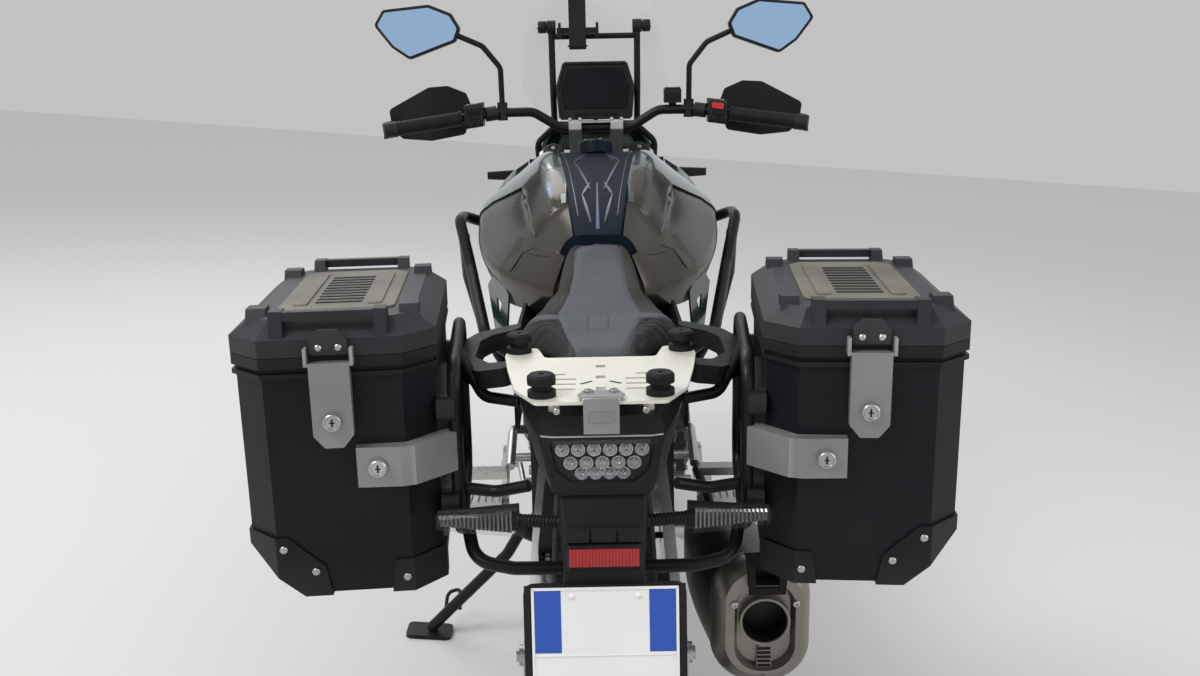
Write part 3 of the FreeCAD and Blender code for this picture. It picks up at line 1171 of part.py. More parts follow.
def stand():
    """Leg, foot and eye on a bolt that is tilted so the leg folds in beside the wheel."""
    pivot, axis = V(*STAND_PIVOT), V(math.cos(STAND_TILT), 0, math.sin(STAND_TILT))
    fx, fy = STAND_FOOT
    fz = ground_z(fx)
    start = pivot - axis * 8 + V(0, 4, -8)
    leg = tube([start, start + V(-34, 8, -60), V(fx, fy, fz + 12)], 12, 60)
    pad = slab(rounded([(-52, -30), (46, -30), (46, 30), (-52, 30)], 12), "z", 0, 9)
    pad = turned(pad, LEAN, V(0, 0, 0), V(0, 1, 0))
    pad.translate(V(fx, fy, fz))
    eye = rod(pivot - axis * 16, pivot + axis * 3, 21)
    tang = tube([V(-318, fy - 4, 92), V(-322, fy + 44, 116), V(-352, fy + 56, 102), V(-354, fy + 4, 62)], 4,
                14)
    hole = rod(pivot - axis * 60, pivot + axis * 40, BOLT_R + CLEAR)
    side = rod(pivot - axis * (16 + CLEAR), pivot - axis * 40, 30)
    inner = rod(pivot + axis * 3, pivot + axis * 40, 30)
    add("side_stand", fuse([leg, pad, eye, tang]).cut([hole, side, inner]))
    boss = rod(pivot + axis * (3 + CLEAR), pivot + axis * 32, 22)
    bolt = rod(pivot - axis * 22, pivot + axis * 10, BOLT_R)
    cap = rod(pivot - axis * (16 + CLEAR), pivot - axis * 22, 14)
    frame = NODES.pop("main_frame")
    add("main_frame", fuse(frame + [boss.cut(NODES["swingarm"]), bolt, cap]))


def lean(shape):
    """Leans a shape onto the stand and moves the origin to the middle of the footprint."""
    copy = shape.copy()
    copy.rotate(V(0, 0, 0), V(0, 1, 0), -math.degrees(LEAN))
    copy.translate(V(-ORIGIN_X, -ORIGIN_Y, TREAD_DROP))
    return copy


def build():
    wheels()
    drive_chain()
    main_frame()
    subframe()
    engine()
    radiator()
    skid_plate()
    swingarm()
    stand()
    shock_absorber()
    footpegs()
    exhaust()
    tank()
    seats()
    tail()
    rack()
    grab_handles()
    cases()
    pannier_rack()
    crash_bars()
    front_bodywork()
    indicators()
    cockpit()
    fork()
    controls()
    front_fender()
    calipers()
    guards()


def export():
    os.makedirs("parts", exist_ok=True)
    for name, solids in NODES.items():
        shape = Part.makeCompound([lean(s) for s in solids])
        shape.exportStep("parts/%s.step" % name)


build()
export()
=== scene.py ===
import cmath
import json
from math import acos, atan2, copysign, cos, dist, exp, hypot, pi, radians, sin, sqrt, tau

import bmesh
import bpy
from mathutils import Matrix, Vector


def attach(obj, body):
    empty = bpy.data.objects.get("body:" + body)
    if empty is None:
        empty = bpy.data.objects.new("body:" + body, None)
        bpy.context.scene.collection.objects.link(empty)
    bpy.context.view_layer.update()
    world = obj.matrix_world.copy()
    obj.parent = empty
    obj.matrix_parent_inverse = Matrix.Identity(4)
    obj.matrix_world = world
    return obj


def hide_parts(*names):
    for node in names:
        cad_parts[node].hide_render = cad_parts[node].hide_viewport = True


# The motorcycle was drawn upright, in millimetres from the ground below its rear axle, and then leant
# onto its stand. bike() and MM carry such millimetres, and UPRIGHT such a frame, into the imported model's
# metres.
LEAN = radians(5.0)
ORIGIN_X, ORIGIN_Y, RISE = -0.0967, 0.7468, 0.00035
UPRIGHT = Matrix.Translation((-ORIGIN_X, -ORIGIN_Y, RISE)) @ Matrix.Rotation(-LEAN, 4, "Y")
MM = UPRIGHT @ Matrix.Scale(0.001, 4)
UP, RIGHT, REARWARD = (0, 0, 1), (1, 0, 0), (0, -1, 0)

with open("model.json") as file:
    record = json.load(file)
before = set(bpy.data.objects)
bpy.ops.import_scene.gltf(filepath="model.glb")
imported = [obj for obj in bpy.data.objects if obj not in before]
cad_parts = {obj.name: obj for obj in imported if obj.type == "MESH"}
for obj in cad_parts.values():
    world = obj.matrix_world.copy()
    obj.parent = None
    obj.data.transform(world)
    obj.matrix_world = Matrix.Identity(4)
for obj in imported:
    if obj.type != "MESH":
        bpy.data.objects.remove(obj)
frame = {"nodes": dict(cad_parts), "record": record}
nodes = frame["nodes"]
scene = bpy.context.scene
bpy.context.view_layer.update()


def bike(x, y, z):
    return UPRIGHT @ Vector((x / 1000, y / 1000, z / 1000))


def add_object(name, data):
    obj = bpy.data.objects.new(name, data)
    scene.collection.objects.link(obj)
    return obj


def cast(name, start, way):
    """Where a ray in upright millimetres first meets a node, or None."""
    place = nodes[name].matrix_world
    into = place.inverted()
    hit, spot = nodes[name].ray_cast(into @ bike(*start), into.to_3x3() @ (UPRIGHT.to_3x3() @ way))[:2]
    return MM.inverted() @ (place @ spot) if hit else None


# Camera, floor and light

CAMERA_AT = (0.0, -1600.0, 1245.0)
PITCH, ROLL = radians(14.0), radians(1.1)
FOCAL_SHARE = 1100.0 / 1200.0


def make_camera():
    data = bpy.data.cameras.new("camera")
    camera = add_object("camera", data)
    scene.camera = camera
    data.sensor_width = 36.0
    data.lens = 36.0 * FOCAL_SHARE
    data.clip_start = 0.05
    forward = Vector((0, cos(PITCH), -sin(PITCH)))
    level_up = Vector((0, sin(PITCH), cos(PITCH)))
    right = Vector((cos(ROLL), 0, 0)) - level_up * sin(ROLL)
    up = level_up * cos(ROLL) + Vector((sin(ROLL), 0, 0))
    pose = Matrix((right, up, -forward)).transposed().to_4x4()
    pose.translation = Vector(CAMERA_AT) / 1000
    camera.matrix_world = UPRIGHT @ pose


def set_sockets(node, **values):
    """Values for a shader node's inputs; an underscore in a name stands for a space."""
    for name, value in values.items():
        node.inputs[name.replace("_", " ")].default_value = value
    return node


def join(source, output, target, socket):
    """Links a shader node's output to another's socket."""
    source.id_data.links.new(source.outputs[output], target.inputs[socket])


def new_material(name):
    mat = bpy.data.materials.new(name)
    mat.use_nodes = True
    return mat, mat.node_tree.nodes["Principled BSDF"]


FLOOR_REACH = 14.0
LAMPS = [
    # name, place, point it faces, width in metres, watts
    ("key", (-2.8, -2.4, 3.8), (0, -0.3, 0.7), 1.8, 110),
    ("fill", (3.2, -2.2, 2.4), (0, 0, 0.7), 2.4, 35),
    ("top", (-1.6, 2.4, 3.9), (0, 0.2, 0.8), 2.6, 60),
]


def make_stage():
    r = FLOOR_REACH
    mesh = bpy.data.meshes.new("floor")
    mesh.from_pydata([(-r, -r, 0), (r, -r, 0), (r, r, 0), (-r, r, 0)], [], [(0, 1, 2, 3)])
    floor = add_object("floor", mesh)
    mat, shader = new_material("floor_pale")
    set_sockets(shader, Base_Color=(0.66, 0.65, 0.63, 1), Roughness=0.9)
    mesh.materials.append(mat)
    world = bpy.data.worlds.new("studio")
    scene.world = world
    world.use_nodes = True
    tree = world.node_tree
    sky = set_sockets(tree.nodes["Background"], Color=(0.95, 0.97, 1.0, 1), Strength=0.72)
    pale = set_sockets(tree.nodes.new("ShaderNodeBackground"), Color=(0.54, 0.54, 0.53, 1), Strength=1.0)
    rays = tree.nodes.new("ShaderNodeLightPath")
    either = tree.nodes.new("ShaderNodeMixShader")
    join(rays, "Is Camera Ray", either, "Fac")
    join(sky, "Background", either, 1)
    join(pale, "Background", either, 2)
    join(either, "Shader", tree.nodes["World Output"], "Surface")
    for name, at, aim, width, power in LAMPS:
        lamp = bpy.data.lights.new(name, "AREA")
        lamp.size = width
        lamp.energy = power
        obj = add_object(name, lamp)
        obj.location = at
        obj.rotation_euler = (Vector(aim) - Vector(at)).to_track_quat("-Z", "Y").to_euler()
    scene.view_settings.view_transform = "Standard"


# Materials

MATERIALS = {}


def surface(name, color, rough, grain, bump, metal=0.0, vary=0.12, depth=0.0006, coat=0.0, wear=None,
            brushed=(1, 1, 1), specular=0.5, alpha=1.0):
    """A shader whose colour, roughness and height vary with noise.

    grain is the scale of the fine noise and bump the strength of its relief. Where wear is given the edges
    are worn to that colour; brushed stretches the fine noise.
    """
    mat, shader = new_material(name)
    MATERIALS[name] = mat
    new = mat.node_tree.nodes.new
    set_sockets(shader, Metallic=metal, Coat_Weight=coat, Coat_Roughness=0.08, Specular_IOR_Level=specular,
                Alpha=alpha)
    place = new("ShaderNodeTexCoord")
    mapping = set_sockets(new("ShaderNodeMapping"), Scale=brushed)
    join(place, "Object", mapping, "Vector")
    broad = set_sockets(new("ShaderNodeTexNoise"), Scale=7.0, Detail=5.0)
    join(place, "Object", broad, "Vector")
    fine = set_sockets(new("ShaderNodeTexNoise"), Scale=grain, Detail=4.0)
    join(mapping, "Vector", fine, "Vector")
    ramp = new("ShaderNodeValToRGB")
    low = [max(0.0, c * (1 - vary)) for c in color]
    high = [min(1.0, c * (1 + vary) + vary * 0.02) for c in color]
    for stop, position, tone in zip(ramp.color_ramp.elements, (0.3, 0.7), (low, high)):
        stop.position = position
        stop.color = (*tone, 1)
    join(broad, "Fac", ramp, "Fac")
    out = (ramp, "Color")
    if wear:
        geometry = new("ShaderNodeNewGeometry")
        edge = set_sockets(new("ShaderNodeMapRange"), From_Min=0.56, From_Max=0.68, To_Max=0.55)
        join(geometry, "Pointiness", edge, "Value")
        blend = new("ShaderNodeMix")
        blend.data_type = "RGBA"
        join(edge, "Result", blend, "Factor")
        join(*out, blend, "A")
        set_sockets(blend, B=(*wear, 1))
        out = (blend, "Result")
    join(*out, shader, "Base Color")
    sheen = set_sockets(new("ShaderNodeMapRange"), From_Min=0.25, From_Max=0.75,
                        To_Min=max(0.02, rough * 0.8), To_Max=min(1.0, rough * 1.25))
    join(fine, "Fac", sheen, "Value")
    join(sheen, "Result", shader, "Roughness")
    relief = set_sockets(new("ShaderNodeBump"), Strength=bump, Distance=depth)
    join(fine, "Fac", relief, "Height")
    join(relief, "Normal", shader, "Normal")


# Name, base colour, roughness, grain and bump, and what differs from the defaults
surface("frame_paint", (0.008, 0.008, 0.009), 0.34, 350, 0.2, depth=0.0003, wear=(0.05, 0.05, 0.05),
        specular=0.2)
surface("engine_grey", (0.035, 0.035, 0.037), 0.5, 420, 0.5, metal=0.5, depth=0.0008,
        wear=(0.16, 0.16, 0.16))
surface("black_metal", (0.01, 0.01, 0.011), 0.36, 380, 0.3, metal=0.2, wear=(0.08, 0.08, 0.08),
        specular=0.2)
surface("silver_metal", (0.5, 0.49, 0.48), 0.33, 260, 0.25, metal=0.85, depth=0.0003)
surface("rack_cream", (0.72, 0.7, 0.62), 0.42, 240, 0.2, metal=0.35, depth=0.0003, vary=0.06)
surface("raw_aluminium", (0.5, 0.5, 0.51), 0.36, 140, 0.25, metal=0.95, brushed=(1, 14, 1))
surface("steel", (0.45, 0.44, 0.43), 0.3, 220, 0.2, metal=0.95, vary=0.2)
surface("bronze_metal", (0.06, 0.053, 0.043), 0.25, 160, 0.1, metal=0.8, depth=0.0003, coat=0.15,
        brushed=(1, 1, 14), vary=0.2)
surface("cap_metal", (0.24, 0.22, 0.19), 0.36, 220, 0.2, metal=0.8, vary=0.15, wear=(0.4, 0.38, 0.34))
surface("gold_anodised", (0.32, 0.2, 0.07), 0.3, 200, 0.1, metal=0.9)
surface("wheel_black", (0.01, 0.01, 0.011), 0.34, 300, 0.2, metal=0.3, specular=0.4)
surface("green_paint", (0.016, 0.042, 0.036), 0.22, 900, 0.05, metal=0.4, depth=0.0001, coat=0.7)
surface("black_gloss", (0.004, 0.009, 0.016), 0.4, 120, 0.02, specular=0.06)
# The cover's ridges take a lighter metallic blue than the dark cover: painted highlight standing in for the
# light caught on their edges
surface("ridge_blue_painted_highlight", (0.09, 0.105, 0.13), 0.24, 120, 0.03, metal=0.7)
surface("strip_blue", (0.1, 0.11, 0.2), 0.35, 200, 0.1, metal=0.5)
surface("black_plastic", (0.008, 0.008, 0.009), 0.5, 700, 0.5, depth=0.0004, wear=(0.035, 0.035, 0.035),
        specular=0.18)
surface("case_plastic", (0.006, 0.007, 0.009), 0.42, 900, 0.5, depth=0.0003, wear=(0.03, 0.03, 0.032),
        specular=0.16)
surface("lid_plastic", (0.02, 0.021, 0.024), 0.45, 900, 0.6, depth=0.0004, wear=(0.08, 0.08, 0.08),
        specular=0.25)
surface("lid_olive", (0.12, 0.11, 0.082), 0.6, 600, 0.7, depth=0.0008, vary=0.3)
surface("latch_grey", (0.24, 0.24, 0.24), 0.38, 300, 0.2, metal=0.45, wear=(0.5, 0.5, 0.5))
surface("seat_cover", (0.062, 0.067, 0.078), 0.62, 420, 0.7, specular=0.3)
surface("seat_side", (0.034, 0.032, 0.03), 0.8, 900, 1.0, depth=0.001, vary=0.5, specular=0.2)
surface("seat_grip", (0.016, 0.016, 0.017), 0.7, 1400, 1.0, depth=0.0012, specular=0.3)
surface("rubber", (0.007, 0.007, 0.007), 0.6, 500, 0.4, specular=0.2)
surface("tyre_rubber", (0.012, 0.012, 0.012), 0.72, 260, 0.5, depth=0.0008, vary=0.3, specular=0.3)
surface("clear_lens", (0.05, 0.05, 0.055), 0.05, 30, 0.02, vary=0.05, coat=1.0, alpha=0.12)
surface("clear_screen", (0.9, 0.93, 0.95), 0.04, 30, 0.02, vary=0.05, coat=1.0, alpha=0.07)
surface("chrome", (0.82, 0.83, 0.86), 0.1, 60, 0.05, metal=1.0, vary=0.3)
surface("smoked_chrome", (0.2, 0.2, 0.21), 0.2, 60, 0.05, metal=0.9, vary=0.3)
surface("led", (0.75, 0.74, 0.66), 0.25, 80, 0.1)
surface("lens_grey", (0.02, 0.02, 0.022), 0.2, 60, 0.05, coat=0.3)
surface("red_lens", (0.36, 0.004, 0.006), 0.2, 60, 0.05, coat=0.3)
surface("red_plastic", (0.5, 0.02, 0.015), 0.35, 200, 0.15)
surface("plate_white", (0.78, 0.78, 0.76), 0.32, 120, 0.05, vary=0.03)
surface("plate_blue", (0.015, 0.075, 0.4), 0.34, 120, 0.05, vary=0.05)
surface("display_glass", (0.003, 0.0035, 0.005), 0.14, 20, 0.01, specular=0.15)
surface("mirror_face", (0.4, 0.58, 0.82), 0.03, 8, 0.0, metal=1.0, vary=0.02)

# Nodes whose look differs from their record slot's plain material
SPECIAL = {"left_lid": "lid_plastic", "right_lid": "lid_plastic", "rear_rack": "rack_cream",
           "muffler_cap": "cap_metal", "fuel_tank": "black_gloss"}


def dress_nodes():
    """Each carried-over node takes its record slot's material."""
    for entry in frame["record"]["subparts"]:
        mesh = nodes[entry["node"]].data
        mesh.materials.clear()
        mesh.materials.append(MATERIALS[SPECIAL.get(entry["node"], entry["material_slot"])])


# Building blocks

def piece(name, bm, mats, body="chassis", stands_for=(), smooth=35.0):
    """An object on a body, from a mesh in upright millimetres."""
    bmesh.ops.transform(bm, matrix=MM, verts=bm.verts)
    bmesh.ops.recalc_face_normals(bm, faces=bm.faces)
    mesh = bpy.data.meshes.new(name)
    bm.to_mesh(mesh)
    bm.free()
    for mat in mats:
        mesh.materials.append(MATERIALS[mat])
    mesh.polygons.foreach_set("use_smooth", [True] * len(mesh.polygons))
    mesh.set_sharp_from_angle(angle=radians(smooth))
    obj = add_object(name, mesh)
    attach(obj, body)
    if stands_for:
        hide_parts(*stands_for)


def ring_faces(bm, rings, material=0, capped=True):
    """Quads between successive rings of as many vertices, and a face on the first and the last ring."""
    faces = []
    for a, b in zip(rings, rings[1:]):
        for i in range(len(a)):
            j = (i + 1) % len(a)
            faces.append(bm.faces.new((a[i], a[j], b[j], b[i])))
    if capped:
        faces += [bm.faces.new(rings[0]), bm.faces.new(rings[-1])]
    for face in faces:
        face.material_index = material


def prism(bm, points, lift, low, high, bevel=0.6, material=0):
    """A closed outline with a small chamfer, between two heights; lift(u, v, w) gives the place."""
    count = len(points)
    cu = sum(p[0] for p in points) / count
    cv = sum(p[1] for p in points) / count
    size = max(hypot(p[0] - cu, p[1] - cv) for p in points)
    shrink = 1 - bevel / size

    def ring(share, w):
        return [bm.verts.new(lift(cu + (u - cu) * share, cv + (v - cv) * share, w)) for u, v in points]
    way = 1 if high > low else -1
    rings = [ring(shrink, low), ring(1, low + way * bevel), ring(1, high - way * bevel), ring(shrink, high)]
    ring_faces(bm, rings, material)


# Radius of the needle hole that a turned solid keeps round its axis, too fine to be seen
CORE = 0.01


def solid(*profile):
    """The (height, radius) points of a turned solid with flat ends."""
    return [(profile[0][0], CORE), *profile, (profile[-1][0], CORE)]


def turn(bm, profile, at, axis, steps=24, material=0):
    """A closed turned body from (height, radius) points, round an axis through at."""
    axis = Vector(axis).normalized()
    side = axis.orthogonal().normalized()
    across = axis.cross(side)
    rings = []
    for i in range(steps):
        a = tau * i / steps
        out = side * cos(a) + across * sin(a)
        rings.append([bm.verts.new(Vector(at) + axis * h + out * r) for h, r in profile])
    rings.append(rings[0])
    ring_faces(bm, rings, material, capped=False)
    bmesh.ops.remove_doubles(bm, verts=bm.verts, dist=0.001)


def pipe(bm, points, radius, steps=10, material=0):
    """A round bar along points, closed at both ends."""
    points = [Vector(p) for p in points]
    rings = []
    for i, p in enumerate(points):
        before = points[max(0, i - 1)]
        after = points[min(len(points) - 1, i + 1)]
        way = (after - before).normalized()
        side = way.orthogonal().normalized() if not rings else (last - way * last.dot(way)).normalized()
        last = side
        across = way.cross(side)
        angles = [tau * k / steps for k in range(steps)]
        rings.append([bm.verts.new(p + (side * cos(a) + across * sin(a)) * radius) for a in angles])
    ring_faces(bm, rings, material)


def screw(bm, at, axis, r, h, steps=12, material=0):
    """A socket-head screw: a chamfered head with a recess."""
    turn(bm, solid((0, r), (h * 0.8, r), (h, r * 0.86), (h, r * 0.5), (h * 0.45, r * 0.44)), at, axis,
         steps, material)


def facing(at, across, up):
    """A lift whose u runs across, v up, and w out of the face that they span."""
    at, across, up = Vector(at), Vector(across).normalized(), Vector(up).normalized()
    out = across.cross(up)
    return lambda u, v, w: at + across * u + up * v + out * w


def wall(y, x=0, side=1):
    """A lift on an upright plane across Y: v is the height, w runs rearward, or forward where side is -1."""
    return facing((x, y, 0), (side, 0, 0), UP)


def tilted(degrees, pivot_y, pivot_z, face_y):
    """wall(face_y), turned about the line along X through the pivot."""
    c, s = cos(radians(degrees)), sin(radians(degrees))

    def lift(u, v, w):
        y, z = face_y - w - pivot_y, v - pivot_z
        return Vector((u, pivot_y + y * c - z * s, pivot_z + y * s + z * c))
    return lift


def brick(bm, u, v, w, lift, nip=1.0, material=0):
    """A block with its edges chamfered; u, v and w are its (low, high) pairs."""
    (u0, u1), (v0, v1) = u, v
    points = [(u0 + nip, v0), (u1 - nip, v0), (u1, v0 + nip), (u1, v1 - nip), (u1 - nip, v1),
              (u0 + nip, v1), (u0, v1 - nip), (u0, v0 + nip)]
    prism(bm, points, lift, w[0], w[1], bevel=nip, material=material)


def mirrored(point, side):
    return Vector((side * point[0], point[1], point[2]))


def beside(axle, x):
    """The point of an axle at x."""
    return (x, axle[1], axle[2])


def on_circle(at, r, angle):
    """A point of the circle of radius r round at, in a plane across X."""
    return Vector((at[0], at[1] + r * cos(angle), at[2] + r * sin(angle)))


def circle(at, r, count, start=0.0):
    """Points evenly round such a circle, the first one start steps on."""
    return [on_circle(at, r, tau * (i + start) / count) for i in range(count)]


# Tyres: the carcass lies one groove deep under the tread blocks.

def arc_through(a, b, c, count):
    """Points on the arc from a through b to c."""
    a, b, c = complex(*a), complex(*b), complex(*c)
    ratio = (c - a) / (b - a)
    middle = a + (b - a) * (ratio - abs(ratio) ** 2) / (2j * ratio.imag)
    part, whole = [cmath.phase((end - middle) / (a - middle)) % tau for end in (b, c)]
    if part > whole:
        whole -= tau
    spots = [middle + (a - middle) * cmath.rect(1, whole * i / count) for i in range(count + 1)]
    return [(spot.real, spot.imag) for spot in spots]


GROOVE = 5.5
REAR_AXLE, FRONT_AXLE = (0, 0, 321), (0, 1570, 345)
TREAD_ROWS = [
    # inner share, outer share of the half tread, start, length (of the pitch), sweep back in degrees
    (0.03, 0.26, 0.00, 0.70, 2.0),
    (0.33, 0.60, 0.30, 0.66, 3.2),
    (0.67, 0.97, 0.55, 0.58, 1.2),
]


# How far apart the points of a block's foot are spread: in radians round the tyre and in mm across it
FOOT_SPREAD = (0.006, 0.36)


def tread_block(bm, centre, crown, tread, side, a0, pitch, row):
    """One block of a row, on a foot that is wider and reaches below the groove."""
    inner, out, length, sweep = row[0], row[1], row[3], row[4]
    tops, feet = [], []
    for u in range(4):
        share = inner + (out - inner) * u / 3
        x = side * tread / 2 * share
        lag = radians(sweep) * (share - inner) / (out - inner)
        tops.append([])
        feet.append([])
        for v in range(3):
            a = a0 + lag + pitch * length * v / 2
            for rows, r, grow, widen in ((tops, crown(x), 0, 0),
                                         (feet, crown(x) - GROOVE - 1, *FOOT_SPREAD)):
                at = beside(centre, x + side * (u - 1.5) * widen)
                rows[u].append(bm.verts.new(on_circle(at, r, a + (v - 1) * grow)))
    for u in range(3):
        for v in range(2):
            bm.faces.new((tops[u][v], tops[u][v + 1], tops[u + 1][v + 1], tops[u + 1][v]))
    edges = [rows[0] + [last[2] for last in rows[1:]] + rows[3][1::-1] + [rows[2][0], rows[1][0]]
             for rows in (tops, feet)]
    ring_faces(bm, edges, capped=False)


def treaded_tyre(end, centre, bead, width, rim, shoulder, tread, repeats):
    """A tyre of a grooved carcass and rows of blocks; shoulder is the radius where the tread starts."""
    outer = centre[2]
    bm = bmesh.new()
    low = bead + 10
    mid = (low + shoulder) / 2
    sag = outer - shoulder
    round_r = ((tread / 2) ** 2 + sag ** 2) / (2 * sag)

    def crown(x):
        return outer - round_r + sqrt(round_r ** 2 - x * x)
    flank = arc_through((-rim / 2, low), (-width / 2, mid), (-tread / 2, shoulder), 12)
    floor = [(x, crown(x) - GROOVE) for x in [tread / 20 * k for k in range(-9, 10)]]
    profile = [(-rim / 2, bead)] + flank + floor + [(-x, z) for x, z in reversed(flank)] + [(rim / 2, bead)]
    steps = 96
    rings = []
    for i in range(steps):
        a = tau * i / steps
        rings.append([bm.verts.new(on_circle(beside(centre, x), r, a)) for x, r in profile])
    rings.append(rings[0])
    ring_faces(bm, rings, capped=False)
    pitch = tau / repeats
    for side in (1, -1):
        for k in range(repeats):
            for row in TREAD_ROWS:
                start = pitch * (k + row[2] + (0.5 if side < 0 else 0))
                tread_block(bm, centre, crown, tread, side, start, pitch, row)
    piece(end + "_tyre_treaded", bm, ["tyre_rubber"], end + "_wheel_assembly", stands_for=(end + "_tyre",),
          smooth=30)


# Padded seats

def applied(obj):
    """The object's mesh with its modifiers worked in."""
    graph = bpy.context.evaluated_depsgraph_get()
    graph.update()
    mesh = bpy.data.meshes.new_from_object(obj.evaluated_get(graph))
    obj.modifiers.clear()
    obj.data = mesh
    return mesh


# In metres: voxels of the remeshed seat, how far it is sunk first, and how far it may then swell
VOXEL, SINK, SWELL = 0.005, 0.004, 0.006
CLOTH_FRAMES = 20


def stuffed(name, node):
    """The node's shape, remeshed, sunk a little and swollen by a cloth simulation."""
    obj = add_object(name, nodes[node].data.copy())
    remesh = obj.modifiers.new("remesh", "REMESH")
    remesh.mode = "VOXEL"
    remesh.voxel_size = VOXEL
    mesh = applied(obj)
    start = [v.co - v.normal * SINK for v in mesh.vertices]
    for vertex, place in zip(mesh.vertices, start):
        vertex.co = place
    smooth = obj.modifiers.new("smooth", "SMOOTH")
    smooth.iterations = 6
    mesh = applied(obj)
    start = [v.co.copy() for v in mesh.vertices]
    cloth = obj.modifiers.new("cloth", "CLOTH")
    cloth.settings.use_pressure = True
    cloth.settings.uniform_pressure_force = 4.0
    cloth.settings.effector_weights.gravity = 0.0
    cloth.point_cache.frame_start = 1
    cloth.point_cache.frame_end = CLOTH_FRAMES
    for step in range(1, CLOTH_FRAMES + 1):
        scene.frame_set(step)
    swollen = applied(obj)
    moved = []
    for p, vertex in zip(start, swollen.vertices):
        way = vertex.co - p
        moved.append(p + way * min(1.0, SWELL / max(way.length, 1e-6)))
    scene.frame_set(1)
    for vertex, place in zip(obj.data.vertices, moved):
        vertex.co = place
    divide = obj.modifiers.new("divide", "SUBSURF")
    divide.levels = 1
    divide.render_levels = 1
    applied(obj)
    return obj


def groove_depth(distance, depth, width):
    """How far a rounded groove sinks the cover at a distance from its line."""
    return depth * exp(-(distance / width) ** 2)


def along(line, y):
    """The half width that a list of (y, half width) gives at y."""
    for (y0, w0), (y1, w1) in zip(line, line[1:]):
        if y0 <= y <= y1:
            return w0 + (w1 - w0) * (y - y0) / (y1 - y0)
    return line[0][1] if y < line[0][0] else line[-1][1]


# Depth and width in mm of the sewn channels, and of the edge of each grip panel
SEAM_GROOVE, PAD_GROOVE = (2.6, 3.2), (1.8, 2.6)
# The rider seat widens by this share from y = 180 to 260, towards its flank line
WIDENING, WIDEN_FROM, WIDEN_OVER = 0.24, 180, 80


def dress_seat(obj, seam, node, pads=None, relief=None, flank=None):
    """Sewn channels pressed in along the seams, and each panel's own cover."""
    back = UPRIGHT.inverted()
    mesh = obj.data
    mesh.materials.clear()
    for mat in ("seat_cover", "seat_side", "seat_grip"):
        mesh.materials.append(MATERIALS[mat])
    normals = [v.normal.copy() for v in mesh.vertices]
    places = [v.co.copy() for v in mesh.vertices]
    if flank:
        for i, place in enumerate(places):
            spot = back @ place
            x, y = spot.x * 1000, spot.y * 1000
            half = along(flank, y)
            grow = 1 + WIDENING * min(1.0, max(0.0, (y - WIDEN_FROM) / WIDEN_OVER))
            if abs(x) < half:
                spot.x = copysign(min(half, abs(x) * grow), x) / 1000
            places[i] = UPRIGHT @ spot
    for i, (place, normal) in enumerate(zip(places, normals)):
        spot = back @ place
        x, y = spot.x * 1000, spot.y * 1000
        up = max(0.0, normal.z)
        sink = groove_depth(abs(abs(x) - along(seam, y)), *SEAM_GROOVE) * min(1.0, up * 2)
        if pads:
            sink += groove_depth(pads(abs(x), y), *PAD_GROOVE) * up
            sink -= relief(abs(x), y) * up
        places[i] = place - normal * sink / 1000
    mesh.vertices.foreach_set("co", [c for place in places for c in place])
    slots = []
    for face in mesh.polygons:
        corners = [face.vertices[k] for k in range(face.loop_total)]
        spot = back @ (sum((places[k] for k in corners), Vector()) / len(corners))
        lift = sum(normals[k].z for k in corners) / len(corners)
        x, y = abs(spot.x * 1000), spot.y * 1000
        index = 0 if x < along(seam, y) and lift > 0 else 1
        if pads and pads(x, y) > 0 and lift > 0.3:
            index = 2
        slots.append(index)
    mesh.polygons.foreach_set("material_index", slots)
    mesh.polygons.foreach_set("use_smooth", [True] * len(mesh.polygons))
    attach(obj, "chassis")
    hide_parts(node)


# Side cases: u runs outward, v forward and w up, from the inner rear corner.

TOE = radians(5.0)
CASE_U, CASE_V = 208.0, -290.0
CASE_W, CASE_L = 245.0, 385.0
CASE_LOW, CASE_TOP, LID_TOP = 592.0, 905.0, 948.0


def case_lift(side):
    c, s = cos(TOE), sin(TOE)
    return lambda u, v, w: Vector((side * (CASE_U + u * c + v * s), CASE_V - u * s + v * c, w))


def rivet(bm, at, way, r=5.0, material=0):
    turn(bm, [(-1, CORE), (-1, r), (0.6, r), (1.8, r * 0.75), (2.4, r * 0.35), (2.5, CORE)], at, way, 14,
         material)


def key_lock(bm, at, way, up):
    """A round lock: raised ring, sunk face and a keyhole drawn as dark raised bars, painted shade in place of
    an open key slot.
    """
    turn(bm, solid((-0.5, 11), (1.6, 11), (2.4, 10), (2.4, 8.4), (1.0, 7.8)), at, way)
    lift = facing(at, Vector(up).cross(way), up)
    brick(bm, (-1.1, 1.1), (-5, 5), (0.6, 1.9), lift, 0.3, 1)
    brick(bm, (-3.4, 3.4), (-0.8, 0.8), (0.6, 1.5), lift, 0.3, 1)


